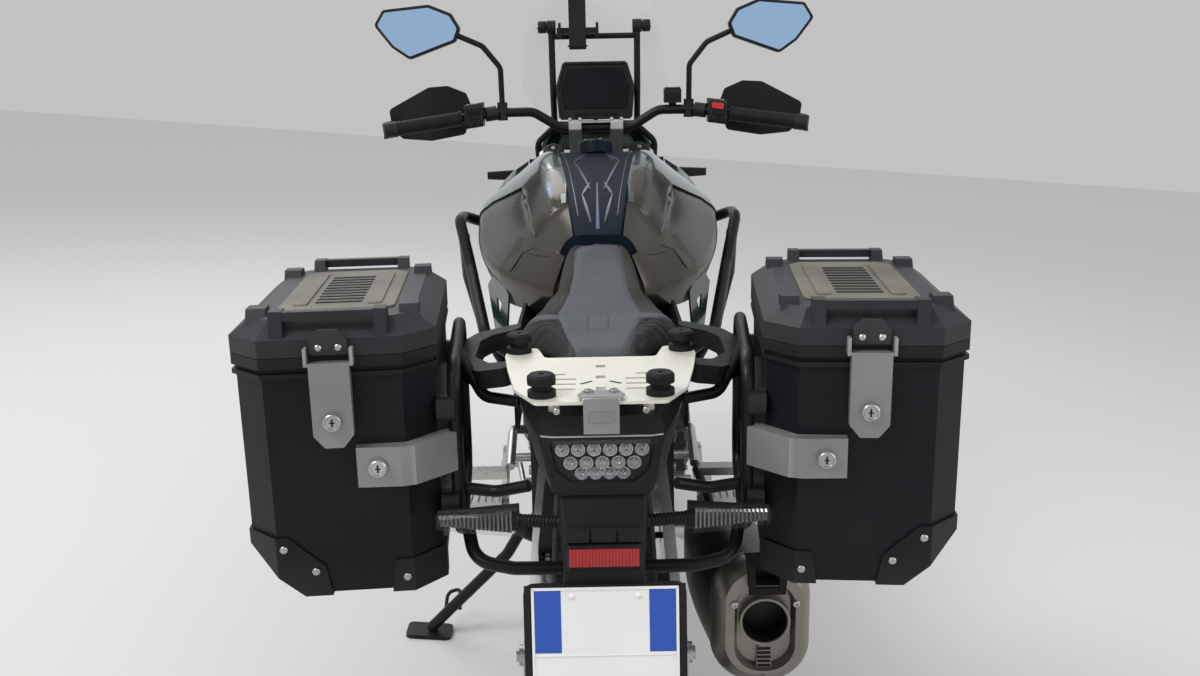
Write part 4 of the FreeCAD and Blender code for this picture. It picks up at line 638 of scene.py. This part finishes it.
def luggage():
    rivets, locks = bmesh.new(), bmesh.new()
    for side in (1, -1):
        lift = case_lift(side)
        back = lift(0, -1, 0) - lift(0, 0, 0)
        for v, way in ((-3.5, back), (CASE_L + 3.5, -back)):
            for u, w in ((CASE_W - 46, CASE_LOW + 62), (CASE_W - 84, CASE_LOW + 30), (46, CASE_LOW + 16)):
                rivet(rivets, lift(u, v, w), way)
        key_lock(locks, lift(122.5, -25, CASE_TOP - 78), back, UP)
        key_lock(locks, lift(72, -22, 764), back, UP)
        insert, fixings = bmesh.new(), bmesh.new()
        edge = [(64, 56), (181, 56), (197, 76), (197, 309), (181, 329), (64, 329), (48, 309), (48, 76)]
        prism(insert, edge, lift, LID_TOP - 1, LID_TOP + 2.4, 2.0)
        for u in ((66, 84), (161, 179)):
            brick(insert, u, (86, 299), (LID_TOP + 1, LID_TOP + 4.6), lift, 2.0)
        for v in range(100, 290, 19):
            brick(insert, (92, 153), (v, v + 7), (LID_TOP + 1, LID_TOP + 3.6), lift, 1.0, 1)
        for u in (110.5, 134.5):
            rivet(fixings, lift(u, -12, CASE_TOP + 13), back, 4.4)
        name = "right" if side > 0 else "left"
        lid = name + "_case_lid"
        piece(name + "_lid_insert", insert, ["lid_olive", "case_plastic"], lid)
        piece(name + "_catch_screws", fixings, ["steel"], lid)
    piece("case_rivets", rivets, ["steel"])
    piece("case_locks", locks, ["steel", "rubber"])


# Rear rack

def rack_details():
    bm = bmesh.new()
    for x, y in ((110, -150), (-110, -150), (70, -356), (-70, -356)):
        screw(bm, (x, y, 886), UP, 8.5, 5.5, 18)
    for x in (-15, 15):
        screw(bm, (x, -364, 871.5), UP, 5.5, 3.6, 14)
    for x in (-52, 52):
        screw(bm, (x, -383, 855), REARWARD, 4, 3)
    piece("rack_screws", bm, ["steel"])
    # Two slanted slots in the rack plate, drawn as thin dark insets: painted shade in place of open slots
    bm = bmesh.new()
    for side in (1, -1):
        way = Vector((side * 0.78, -0.62, 0))
        lift = facing((side * 18, -305, 866), way, (-way.y, way.x, 0))
        brick(bm, (-9, 9), (-2, 2), (-0.6, 0.25), lift, 0.25)
    piece("rack_slots_painted_shade", bm, ["rubber"])
    bm = bmesh.new()
    prism(bm, [(-25, -384), (25, -384), (28, -372), (22, -356), (-22, -356), (-28, -372)],
          lambda u, v, w: Vector((u, v, w)), 869, 871.8, 0.8)
    brick(bm, (-21, 21), (828, 871.8), (0, 2.4), wall(-388))
    brick(bm, (-15, 15), (842, 856), (2, 3.4), wall(-388), 0.8)
    piece("rack_latch_plate", bm, ["latch_grey"])


# Lamps, reflector and plate at the tail

LAMP_EDGE = [(-64, 805), (64, 805), (57, 767), (38, 751), (-38, 751), (-57, 767)]
# Height, number and spacing of the lamp's rows of bowls
LAMP_ROWS = [(789, 6, 19.5), (772, 5, 19.5), (758, 4, 17)]


def lamp_bowl(bm, at, way, r, deep):
    """A bowl of the piece's second material, with a dome of its third in it."""
    turn(bm, [(-0.6, CORE), (-0.6, r * 0.9), (deep, r), (deep, r * 0.9), (deep * 0.45, r * 0.66),
              (deep * 0.12, r * 0.3), (0, CORE)], at, way, 18, 1)
    turn(bm, [(0, CORE), (0, r * 0.24), (deep * 0.25, r * 0.2), (deep * 0.34, CORE)], at, way, 10, 2)


def tail_lamp():
    bm = bmesh.new()
    rear = wall(-322)
    prism(bm, LAMP_EDGE, rear, 0, 3, 1.0)
    for z, count, step in LAMP_ROWS:
        for i in range(count):
            lamp_bowl(bm, ((i - (count - 1) / 2) * step, -325, z), REARWARD, 8.6, 8)
    brick(bm, (-61, 61), (797.5, 804), (3, 16), rear, 1.0, 3)
    prism(bm, LAMP_EDGE, rear, 17, 19.8, 1.2, 4)
    piece("tail_light_lens", bm, ["rubber", "chrome", "led", "lens_grey", "clear_lens"],
          stands_for=("tail_light",))
    bm = bmesh.new()
    pipe(bm, [(-74, -345, 812), (-60, -345.4, 810.5), (60, -345.4, 810.5), (74, -345, 812)], 1.3, 8)
    piece("tail_edge_line", bm, ["silver_metal"])


def reflector():
    bm = bmesh.new()
    rear = wall(-374)
    brick(bm, (-45, 45), (656, 687), (0, 13), rear, 3, 1)
    for i in range(21):
        x = -40 + 4 * i
        prism(bm, [(x - 1.9, 660), (x + 1.9, 660), (x + 1.9, 683), (x - 1.9, 683)], rear, 12, 15, 0.8)
    for u in ((-47, -17), (-15, 15), (17, 47)):
        brick(bm, u, (690, 708), (0, 11), rear, 1.2, 1)
    piece("rear_reflector_ribbed", bm, ["red_lens", "black_plastic"], stands_for=("rear_reflector",))


def number_plate():
    """The blank plate with its raised border, split line, coloured ends and rivets, and its frame's rim."""
    plate_lift = tilted(-8, -390, 640, -394.3)
    bm = bmesh.new()
    brick(bm, (-88.5, 88.5), (460, 637), (0, 1.0), plate_lift, 0.5)
    for u, v in (((-88.5, 88.5), (460, 463)), ((-88.5, 88.5), (634, 637)), ((-88.5, -85.5), (460, 637)),
                 ((85.5, 88.5), (460, 637)), ((-85, 85), (552, 553.2))):
        brick(bm, u, v, (0.8, 2.0), plate_lift, 0.5)
    for u in ((-85, -53), (53, 85)):
        brick(bm, u, (556, 633.5), (0.9, 1.3), plate_lift, 0.2, 1)
    for u in (-40, 40):
        rivet(bm, plate_lift(u, 626, 1.0), plate_lift(0, 0, 1) - plate_lift(0, 0, 0), 3.6)
    piece("number_plate_blank", bm, ["plate_white", "plate_blue"], stands_for=("number_plate",))
    bm = bmesh.new()
    for u, v in (((-97, 97), (453, 458.6)), ((-97, 97), (638.4, 640)), ((-97, -89.6), (456, 640)),
                 ((89.6, 97), (456, 640))):
        brick(bm, u, v, (0.2, 1.0), plate_lift, 0.3)
    piece("plate_frame_rim", bm, ["black_plastic"])


INDICATORS = [
    # root of the stalk, x of both ends, y and z limits at the inner and the outer end, way the lens faces
    ((52, -322, 690), (108, 212), (-318, -278, 668, 700), (-308, -284, 674, 694), -1),
    ((168, 1369, 960), (205, 292), (1352, 1386, 946, 974), (1357, 1381, 950, 970), 1),
]
INDICATOR_LAYERS = [
    # how far its ends lie inside the lamp's, depths behind the lens face, height left free, ribs, their depth
    (5, 0, 0, 17, 0, 34, 0.8),
    (8, 4, 8, 20, 2, 34, 1.8),
    (0, 0, 17.3, None, 0, 2, 0.0),
]
INDICATOR_CHAMFER = 3.0


def lamp_layer(bm, side, ends, inner, outer, face, layer, material):
    """A bar along X that tapers from the inner to the outer limits; its outer face bears the layer's ribs."""
    from_inner, from_outer, near, far, margin, steps, wave = layer
    x0, x1, c = ends[0] + from_inner, ends[1] - from_outer, INDICATOR_CHAMFER
    rings = []
    for i in range(steps + 1):
        k = i / steps
        y0, y1, z0, z1 = [a + (b - a) * k for a, b in zip(inner, outer)]
        depths = near + wave * (i % 2), far or y1 - y0
        y0, y1 = (y0 + depths[0], y0 + depths[1]) if face < 0 else (y1 - depths[1], y1 - depths[0])
        z0, z1 = z0 + margin, z1 - margin
        x = side * (x0 + (x1 - x0) * k)
        corners = ((y0 + c, z0), (y1 - c, z0), (y1, z0 + c), (y1, z1 - c), (y1 - c, z1), (y0 + c, z1),
                   (y0, z1 - c), (y0, z0 + c))
        rings.append([bm.verts.new((x, y, z)) for y, z in corners])
    ring_faces(bm, rings, material)


def indicator_lamps():
    bm = bmesh.new()
    for root, ends, inner, outer, face in INDICATORS:
        for side in (1, -1):
            for material, layer in enumerate(INDICATOR_LAYERS):
                lamp_layer(bm, side, ends, inner, outer, face, layer, material)
            start = mirrored(root, side)
            way = Vector((side * (ends[0] + 4), sum(inner[:2]) / 2, sum(inner[2:]) / 2)) - start
            ribs = [(0, CORE), (0, 8.5)]
            for i in range(int(way.length / 5) - 1):
                ribs += [(2 + 5 * i, 8.5), (3 + 5 * i, 7.4), (5 + 5 * i, 7.4), (6 + 5 * i, 8.5)]
            ribs += [(way.length, 9.5), (way.length, CORE)]
            turn(bm, ribs, start, way, 12, 2)
    piece("indicator_lamps", bm, ["clear_lens", "smoked_chrome", "black_plastic"],
          stands_for=("indicators",))


# Headlamps

def headlamp_units():
    bm = bmesh.new()
    front = wall(1445, side=-1)
    for half, z0, z1 in ((46, 972, 1022), (52, 912, 964)):
        brick(bm, (-half, half), (z0, z1), (0, 36), front, 4)
        for i in (-1, 0, 1):
            lamp_bowl(bm, (i * half * 0.64, 1481, (z0 + z1) / 2), (0, 1, 0), half * 0.3, 15)
        brick(bm, (-half + 3, half - 3), (z0 + 1.5, z0 + 5), (36, 52), front, 1, 2)
        brick(bm, (-half, half), (z0, z1), (54, 58.6), front, 3, 3)
    piece("headlamp_units", bm, ["rubber", "chrome", "led", "clear_lens"],
          stands_for=("headlamps",))


# Cockpit

RAKE = radians(28.0)
# The straight outer run of the right handlebar: its inner end, and its slope in y and z along x
BAR_START, BAR_SLOPE = (235, 1076, 1136), (-76 / 245, -32 / 245)


def bar_point(x, side):
    """A point on the middle of the handlebar's outer run, x being its distance from the middle plane."""
    run = x - BAR_START[0]
    return Vector((side * x, BAR_START[1] + BAR_SLOPE[0] * run, BAR_START[2] + BAR_SLOPE[1] * run))


def hand_controls():
    """The ribbed grips, the switch blocks' buttons, and the screws and fork caps of the upper clamp."""
    bm = bmesh.new()
    for side in (1, -1):
        a, b = bar_point(318, side), bar_point(462, side)
        length = (b - a).length
        profile = [(0, CORE), (0, 18.5), (4, 18.5), (5, 16.4)]
        for i in range(22):
            h = 8 + 6 * i
            profile += [(h, 16.2), (h + 1, 17), (h + 3.6, 17), (h + 4.6, 16.2)]
        profile += [(length - 6, 17), (length, 16.6), (length, CORE)]
        turn(bm, profile, a, b - a)
    piece("grips_ribbed", bm, ["rubber"], "steering", stands_for=("grips",))
    bm = bmesh.new()
    for side in (1, -1):
        way = bar_point(400, side) - bar_point(318, side)
        back = facing(bar_point(287, side) + Vector((0, -26, 0)), way * side, UP)
        brick(bm, (-14, 14), (8, 22), (-1, 5), back, 2, 1 if side > 0 else 0)
        brick(bm, (-12, 12), (-6, 4), (-1, 4), back, 1.6)
        turn(bm, solid((-1, 7), (4, 7), (5, 6)), back(-7, -16, 0), REARWARD, 16)
        brick(bm, (3, 15), (-21, -11), (-1, 4.5), back, 1.4)
        for u in (-9, 9):
            screw(bm, back(u, 27, -14), UP, 3.4, 3.5, 10, 2)
    piece("switch_buttons", bm, ["rubber", "red_plastic", "steel"], "steering")
    bm = bmesh.new()
    up = facing((184, 1090, 1184), RIGHT, (0, 1, 0))
    brick(bm, (-18.5, 18.5), (-18.5, 18.5), (0, 3.4), up, 1.6)
    for u, v in ((-13, -13), (13, 13), (-13, 13), (13, -13)):
        screw(bm, up(u, v, 3), UP, 2.8, 2, 10, 1)
    for x in (-62, -38, 38, 62):
        for y in (1082, 1110):
            screw(bm, (x, y, 1114.6), UP, 4, 4.5, 12, 1)
    way = Vector((0, -sin(RAKE), cos(RAKE)))
    for x in (-107, 107):
        cap = Vector((x, 1168.8, 1037.8))
        turn(bm, solid((-1, 25.5), (4, 25.5), (6, 23), (6, 13), (3.5, 12)), cap, way)
        screw(bm, cap + way * 3, way, 6, 6, 12, 1)
    piece("clamp_and_reservoir_screws", bm, ["black_plastic", "steel"], "steering")


def display():
    display_lift = tilted(-6, 1216, 1112, 1216)
    bm = bmesh.new()
    rim = [(-88, 1114), (88, 1114), (95, 1189), (77, 1248), (-77, 1248), (-95, 1189)]
    prism(bm, rim, display_lift, -28, -6, 3)
    for (u0, v0), (u1, v1) in zip(rim, rim[1:] + rim[:1]):
        pipe(bm, [display_lift(u0, v0, -5), display_lift(u1, v1, -5)], 4.2)
    screen = [(-78, 1136), (78, 1136), (84, 1189), (68, 1236), (-68, 1236), (-84, 1189)]
    prism(bm, screen, display_lift, -7, -3.6, 1.4, 1)
    for i in range(5):
        brick(bm, (-52 + 22 * i, -36 + 22 * i), (1121, 1130), (-7, -3), display_lift, 1.2, 2)
    piece("display_unit", bm, ["black_plastic", "display_glass", "rubber"],
          stands_for=("instrument_display",))


# Tank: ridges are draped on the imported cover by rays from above.

def draped(bm, line, width, height, material=0):
    """A low ridge along a line of (x, y) on the tank cover; width is one number or a list along the line."""
    down = Vector((0, 0, -1))
    rings = []
    for i in range(len(line)):
        (x0, y0), (x1, y1) = line[max(0, i - 1)], line[min(len(line) - 1, i + 1)]
        size = hypot(x1 - x0, y1 - y0)
        nx, ny = -(y1 - y0) / size, (x1 - x0) / size
        x, y = line[i]
        half = width[i] / 2 if isinstance(width, list) else width / 2
        feet = [cast("tank_cover", (x + nx * half * s, y + ny * half * s, 1300), down)
                for s in (-1, -0.55, 0.55, 1)]
        if None in feet:
            continue
        rises = (-0.4, height, height, -0.4)
        top = [bm.verts.new(p + Vector((0, 0, r))) for p, r in zip(feet, rises)]
        foot = [bm.verts.new(p + Vector((0, 0, -1.2))) for p in (feet[3], feet[0])]
        rings.append(top + foot)
    ring_faces(bm, rings, material)


def spaced(a, b, count):
    """Points at even steps from a to b."""
    shares = [i / (count - 1) for i in range(count)]
    return [(a[0] + (b[0] - a[0]) * k, a[1] + (b[1] - a[1]) * k) for k in shares]


KNEE_FILLER = [
    # y, x of the inner edge, z of the lower edge
    (473, 48, 800), (500, 50, 888), (540, 55, 898), (557, 57, 888), (561.5, 58, 888), (600, 62, 900),
    (640, 67, 918), (670, 71, 932), (690, 76, 944), (712, 93, 952), (736, 115, 962), (760, 138, 978),
]
# Number of strips that a ring of the panel is divided into, and the panel's thickness
ACROSS, PANEL_THICK = 12, 3
# Rays probe the flank from FAR outside the line x = 0, z = CORE_Z, at these angles from the vertical
FAR, CORE_Z = 420, 850
PROBES = [radians(2 + 0.6 * k) for k in range(170)]
# Nodes under the panel, and how far it lies above each
KNEE_BASE = [("fuel_tank", 6.0), ("knee_panels", 1.4), ("tank_shrouds", 1.4)]
KNEE_SKIRT = [
    # y, then x and z of the corners: upper, shoulder and lower
    (458, (64, 892), (90, 824), (84, 780)),
    (470, (77, 897), (108, 826), (98, 778)),
    (500, (90, 902), (133, 830), (121, 776)),
    (535, (111, 905), (161, 834), (146, 775)),
    (570, (134, 908), (186, 838), (168, 774)),
    (605, (158, 909), (206, 842), (187, 774)),
]


def shell_faces(bm, rings):
    """A thin shell from rings that run out along one side and back along the other, with both ends shut."""
    ring_faces(bm, rings, capped=False)
    for end in (rings[0], rings[-1]):
        last = len(end) - 1
        for i in range(last // 2):
            bm.faces.new((end[i], end[i + 1], end[last - i - 1], end[last - i]))


def knee_fillers():
    """The panel between the cover and each knee panel, laid on the tank's upper flank, and its skirt."""
    def touch(side, y, angle, rise):
        """The outermost point of the nodes below, on a ray towards the middle of the tank."""
        axis = Vector((0, y, CORE_Z))
        out = Vector((side * sin(angle), 0, cos(angle)))
        reach = 0
        for name, lift in KNEE_BASE:
            spot = cast(name, axis + out * FAR, -out)
            if spot:
                reach = max(reach, (spot - axis).dot(out) + lift)
        return axis + out * (reach + rise) if reach else None

    def angle_where(side, y, test):
        """The first angle from the vertical at which a point passes the test."""
        last = 0.0
        for angle in PROBES:
            spot = touch(side, y, angle, 0)
            if spot:
                last = angle
                if test(spot):
                    break
        return last
    bm = bmesh.new()
    for side in (1, -1):
        rings = []
        for y, inner_x, low_z in KNEE_FILLER:
            a0 = angle_where(side, y, lambda p: abs(p.x) >= inner_x)
            a1 = angle_where(side, y, lambda p: p.z <= low_z)
            angles = [a0 + (a1 - a0) * i / ACROSS for i in range(ACROSS + 1)]
            ring = [touch(side, y, a, 0) for a in angles]
            ring += [touch(side, y, a, -PANEL_THICK) for a in reversed(angles)]
            if None not in ring:
                rings.append([bm.verts.new(p) for p in ring])
        shell_faces(bm, rings)
        rings = []
        for y, *corners in KNEE_SKIRT:
            shape = [Vector((side * x, y, z)) for x, z in corners]
            curve = [shape[0].lerp(shape[1], k / 5) for k in range(5)]
            curve += [shape[1].lerp(shape[2], k / 4) for k in range(5)]
            curve[5] = curve[5] - Vector((side * 2, 0, 0))
            thick = Vector((side * -PANEL_THICK, 2 if y < 480 else 0, 0))
            rings.append([bm.verts.new(p) for p in curve + [p + thick for p in reversed(curve)]])
        shell_faces(bm, rings)
    piece("knee_upper_panels", bm, ["bronze_metal"], smooth=40)


# Both ends of each raised stroke on the cover's right half
STROKES = [((13, 498), (30, 590)), ((30, 590), (14, 640)), ((14, 610), (48, 760)), ((48, 760), (20, 840))]


def tank_details():
    """The ridges on the cover, the panels beside it, and the filler cap's ring and screws."""
    bm = bmesh.new()
    draped(bm, spaced((0, 484), (0, 640), 14), [8 - 0.35 * i for i in range(14)], 1.2, 1)
    for side in (1, -1):
        for start, stop in STROKES:
            a, b = (side * start[0], start[1]), (side * stop[0], stop[1])
            draped(bm, spaced(a, b, 14), [3 + 6 * sin(pi * i / 13) for i in range(14)], 3.2)
        draped(bm, spaced((side * 38, 520), (side * 78, 900), 24), 3, 1.6)
    # The ridges' lighter blue is painted highlight; the centre strip keeps its own colour
    piece("tank_cover_ridges", bm, ["ridge_blue_painted_highlight", "strip_blue"])
    knee_fillers()
    bm = bmesh.new()
    way = Vector((0, 8, 24)).normalized()
    top = Vector((0, 913, 1068))
    turn(bm, solid((-0.5, 40), (2.5, 40), (4, 38), (4, 30), (2.4, 28), (2.4, 20), (5, 18)), top, way, 40)
    side = way.orthogonal().normalized()
    for i in range(6):
        a = tau * i / 6
        out = side * cos(a) + way.cross(side) * sin(a)
        screw(bm, top + out * 34 + way * 3, way, 2.8, 2.4, 10, 1)
    brick(bm, (-2, 2), (-12, 12), (4.6, 6.2), facing(top, RIGHT, way.cross(Vector(RIGHT))), 0.6, 1)
    piece("filler_cap_ring", bm, ["black_metal", "steel"])


# Muffler end

def muffler_end():
    bm = bmesh.new()
    for x, z in ((192, 462), (284, 462), (238, 340)):
        screw(bm, (x, -111.6, z), REARWARD, 5.4, 3.6, 14)
    outlet = (238, -110, 432)
    turn(bm, [(0, 34.5), (0, 38.5), (1.6, 38.2), (2.2, 36.6), (1.4, 34.5)], outlet, REARWARD, 32, 1)
    turn(bm, solid((-50, 33), (-1, 33.6), (-1, 32.6), (-48, 32)), outlet, REARWARD, 32, 2)
    black = wall(-131, x=238)
    prism(bm, [(-27, 486), (27, 486), (30, 534), (20, 534), (17, 497), (-17, 497), (-20, 534), (-30, 534)],
          black, -6, 0, 1.0, 2)
    ramp = wall(-106, x=238)
    for i in range(5):
        brick(bm, (-10, 10), (356 + 7 * i, 359.5 + 7 * i), (-0.5, 1.6), ramp, 0.6, 2)
    piece("muffler_end_details", bm, ["steel", "cap_metal", "rubber"])


# Engine, radiator and frame

BOSS_RINGS = [
    # y and z of the cover's middle, radius of the ring, count, x of the boss ends
    (780, 435, 101, 9, 184),
    (950, 430, 72, 6, 168),
    (950, 430, 89, 8, -172),
]


def engine_details():
    bm = bmesh.new()
    for y, z, ring, count, x in BOSS_RINGS:
        for at in circle((x, y, z), ring, count, 0.5):
            screw(bm, at, (x, 0, 0), 6, 5)
    for y, z in ((650, 360), (712, 372), (716, 486), (650, 495)):
        screw(bm, (-124, y, z), (-1, 0, 0), 5.5, 5)
    for x in (-1, 1):
        for y in (880, 960, 1040):
            screw(bm, (x * 112, y, 780), (x, 0, 0.25), 5, 8)
    turn(bm, solid((-1, 30), (2, 30), (3, 28), (3, 22), (1.4, 20)), (196, 780, 435), RIGHT, 30, 1)
    turn(bm, solid((-1, 20), (3, 20), (4, 18)), (174, 950, 430), RIGHT, 24, 1)
    turn(bm, solid((-1, 24), (2, 24), (3, 22)), (-186, 950, 430), (-1, 0, 0), 24, 1)
    nut = solid((-1, 11), (6, 11), (7, 10), (7, 5), (3, 4.6))
    for side in (-1, 1):
        for y, z in ((560, 320), (605, 520), (592, 480)):
            turn(bm, nut, (side * 147, y, z), (side, 0, 0), 6)
    piece("engine_screws", bm, ["steel", "black_metal"])
    bm = bmesh.new()
    front = wall(1196, side=-1)
    for i in range(58):
        u = -142 + 5 * i
        brick(bm, (u - 0.5, u + 0.5), (549, 703), (-0.5, 1.4), front, 0.2)
    for x in (-161, 161):
        turn(bm, solid((0, 15), (5, 15), (7, 12), (9, 12)), (x, 1186, 713), UP, 20)
    piece("radiator_fins", bm, ["black_metal"])


# Drive chain

LINK = 15.875
CHAIN_X = -93.0
# Radius of a link plate's ends, and half its height at the waist
PLATE_END, PLATE_WAIST = 6.4, 4.6
BIG_TEETH, SMALL_TEETH = 51, 17
GEARBOX_SHAFT = (650.0, 430.0)


def chain_places():
    """The chain's joints, evenly spaced round both sprockets, as (y, z) pairs."""
    big, small = [LINK / (2 * sin(pi / teeth)) for teeth in (BIG_TEETH, SMALL_TEETH)]
    (ay, az), (by, bz) = REAR_AXLE[1:], GEARBOX_SHAFT
    gap, tilt = hypot(by - ay, bz - az), atan2(bz - az, by - ay)
    spread = acos((big - small) / gap)
    route = []
    for i in range(41):
        a = tilt + spread - 2 * spread * i / 40
        route.append((by + small * cos(a), bz + small * sin(a)))
    for i in range(121):
        a = tilt - spread - (tau - 2 * spread) * i / 120
        route.append((ay + big * cos(a), az + big * sin(a)))
    route.append(route[0])
    total = sum(dist(a, b) for a, b in zip(route, route[1:]))
    count = 2 * round(total / LINK / 2)
    step, due, places = total / count, 0.0, []
    for a, b in zip(route, route[1:]):
        run = dist(a, b)
        while due <= run and len(places) < count:
            places.append((a[0] + (b[0] - a[0]) * due / run, a[1] + (b[1] - a[1]) * due / run))
            due += step
        due -= run
    return places


def chain_details():
    places = chain_places()
    plates = bmesh.new()
    for side in (1, -1):
        for i, (y, z) in enumerate(places):
            turn(plates, solid((0, 2.7), (1.1, 2.7), (1.7, 1.6)), (CHAIN_X + side * 9.2, y, z),
                 (side, 0, 0), 8)
            if i % 2:
                continue
            ny, nz = places[(i + 1) % len(places)]
            run = Vector((0, ny - y, nz - z))
            lift = facing((CHAIN_X + side * 8.0, (y + ny) / 2, (z + nz) / 2), run, -run.cross((side, 0, 0)))
            half = run.length / 2
            edge = [(s * (half + PLATE_END * cos(a)), s * PLATE_END * sin(a)) for s in (1, -1)
                    for a in (radians(t) for t in (-62, -31, 0, 31, 62))]
            edge = edge[:5] + [(0, PLATE_WAIST)] + edge[5:] + [(0, -PLATE_WAIST)]
            prism(plates, edge, lift, -0.2, 1.5, 0.4)
    piece("chain_link_plates", plates, ["steel"])


# Wheels

WHEELS = [
    # end, axle, bead radius, x and radius of the hub's flange
    ("rear", REAR_AXLE, 220, 38, 52),
    ("front", FRONT_AXLE, 272, 36, 42),
]
SPOKES = 36
CROSS = radians(32.0)
# x of the outer faces: the front carriers' and discs', then the rear disc's and the sprocket's
FRONT_CARRIER, FRONT_DISC, REAR_DISC, SPROCKET = 58.3, 62.8, 68.5, -96.4
# Each drilled hole in a brake disc is a thin disc of the piece's dark second material: painted shade in place
# of an open hole
DISC_HOLE_SHADE = solid((-0.2, 3.3), (0.15, 3.1))


def wheel_details():
    for end, centre, bead, flange_x, flange_r in WHEELS:
        bm = bmesh.new()
        well = bead - 20
        for i in range(SPOKES):
            side = 1 if i % 2 else -1
            way = 1 if (i // 2) % 2 else -1
            rim_at = tau * (i + 0.5) / SPOKES
            hub_at = rim_at + way * CROSS
            inner = on_circle(beside(centre, side * flange_x), flange_r, hub_at)
            outer = on_circle(beside(centre, side * 6), well + 2, rim_at)
            turn(bm, solid((0, 4.6), (4, 4.6), (5, 3.4), (18, 3.2), (19, 2.4)), outer, inner - outer, 8)
            head = on_circle(beside(centre, side * (flange_x + 2)), flange_r - 2, hub_at)
            turn(bm, solid((-3, 4), (3, 4), (4.4, 2.4)), head, (side, 0, 0), 8)
        piece(end + "_spoke_nipples", bm, ["steel"], end + "_wheel_assembly")
    bm = bmesh.new()
    for side in (1, -1):
        disc = beside(FRONT_AXLE, side * FRONT_DISC)
        for at in circle(beside(FRONT_AXLE, side * FRONT_CARRIER), 112, 9, 0.5):
            turn(bm, solid((-0.8, 7.5), (5.6, 7.5), (6, 6.4), (6, 3.2), (5, 3)), at, (side, 0, 0), 16)
        # Drilled holes of the front discs, drawn as dark discs: painted shade
        for i in range(45):
            turn(bm, DISC_HOLE_SHADE, on_circle(disc, 129 + 8 * (i % 3), tau * i / 45), (side, 0, 0), 10, 1)
        for at in circle(disc, 38, 5):
            screw(bm, at, (side, 0, 0), 6, 5)
    piece("front_disc_bobbins", bm, ["steel", "rubber"], "front_wheel_assembly")
    bm = bmesh.new()
    disc = beside(REAR_AXLE, REAR_DISC)
    # Drilled holes of the rear disc, drawn as dark discs: painted shade
    for i in range(36):
        turn(bm, DISC_HOLE_SHADE, on_circle(disc, 106 + 7 * (i % 3), tau * i / 36), RIGHT, 10, 1)
    for at, bolt in zip(circle(disc, 38, 5), circle(beside(REAR_AXLE, SPROCKET), 60, 5, 0.5)):
        screw(bm, at, RIGHT, 6, 5)
        screw(bm, bolt, (-1, 0, 0), 6, 5)
    piece("rear_disc_and_sprocket_bolts", bm, ["steel", "rubber"], "rear_wheel_assembly")


# Windscreen and ignition

def screen_details():
    """The screen's knobs, the empty holder's clamps, and the ignition barrel with its key."""
    bm = bmesh.new()
    for side in (1, -1):
        turn(bm, solid((0, 13), (3, 15), (18, 15), (21, 13)), (side * 118, 1228, 1335), (side, 0, 0), 10)
        turn(bm, solid((0, 6), (2, 5.4)), (side * 139, 1228, 1335), (side, 0, 0), 12, 1)
    for z0, z1 in ((1286, 1290), (1410, 1414)):
        brick(bm, (-66, -16), (z0, z1), (0, 7), wall(1196), 1.4)
    for u in (-88, 4):
        brick(bm, (u, u + 7), (1306, 1344), (0, 12), wall(1200), 2)
    piece("screen_knobs_and_holder", bm, ["black_plastic", "steel"])
    bm = bmesh.new()
    lock, up, ahead = (0, 1176, 1020), (0, -0.47, 0.883), (0, 0.883, 0.47)
    turn(bm, solid((-2, 17), (10, 17), (12, 15), (12, 5), (11, 5)), lock, up, 18)
    brick(bm, (-1.2, 1.2), (-11, 11), (8, 34), facing(lock, RIGHT, ahead), 0.5)
    brick(bm, (-9, 9), (-28, 14), (28, 31), facing((-6, 1176, 1020), RIGHT, ahead), 1.0, 1)
    piece("ignition_key", bm, ["black_metal", "red_plastic"], "steering")


# Half widths in mm along y: the seam of each seat's top panel, and the rider seat's flank
RIDER_SEAM = [(120, 66), (200, 58), (300, 50), (380, 45), (450, 44), (475, 30)]
RIDER_FLANK = [(42, 134), (150, 134), (225, 112), (305, 90), (400, 78), (462, 66)]
PILLION_SEAM = [(-180, 30), (-120, 42), (-40, 60), (40, 128)]


def pillion_pads(x, y):
    """How far inside one of the two grip panels a point lies, in mm; below 0 is outside."""
    inner = 60 - 16 * min(1.0, max(0.0, (-5 - y) / 115))
    return min(x - inner, -5 - y)


def pillion_relief(x, y):
    """Height of the moulded bars on the grip panels and of the blank tab between them, in mm."""
    bar = 64 < x < 98 and -96 < y < -14 and (-14 - y) % 20 < 10
    tab = groove_depth(min(15 - x, y + 72, 40 - y), 2.2, 1.6)
    return (1.5 if bar else 0.0) - tab


make_camera()
make_stage()
dress_nodes()
treaded_tyre("rear", REAR_AXLE, bead=220, width=150, rim=100, shoulder=291, tread=136, repeats=30)
treaded_tyre("front", FRONT_AXLE, bead=272, width=92, rim=54, shoulder=325, tread=82, repeats=36)
dress_seat(stuffed("rider_seat_padded", "rider_seat"), RIDER_SEAM, "rider_seat", flank=RIDER_FLANK)
dress_seat(stuffed("pillion_seat_padded", "pillion_seat"), PILLION_SEAM, "pillion_seat",
           pads=pillion_pads, relief=pillion_relief)
for build in (luggage, rack_details, tail_lamp, reflector, number_plate, indicator_lamps, headlamp_units,
              hand_controls, display, tank_details, muffler_end, engine_details, chain_details,
              wheel_details, screen_details):
    build()
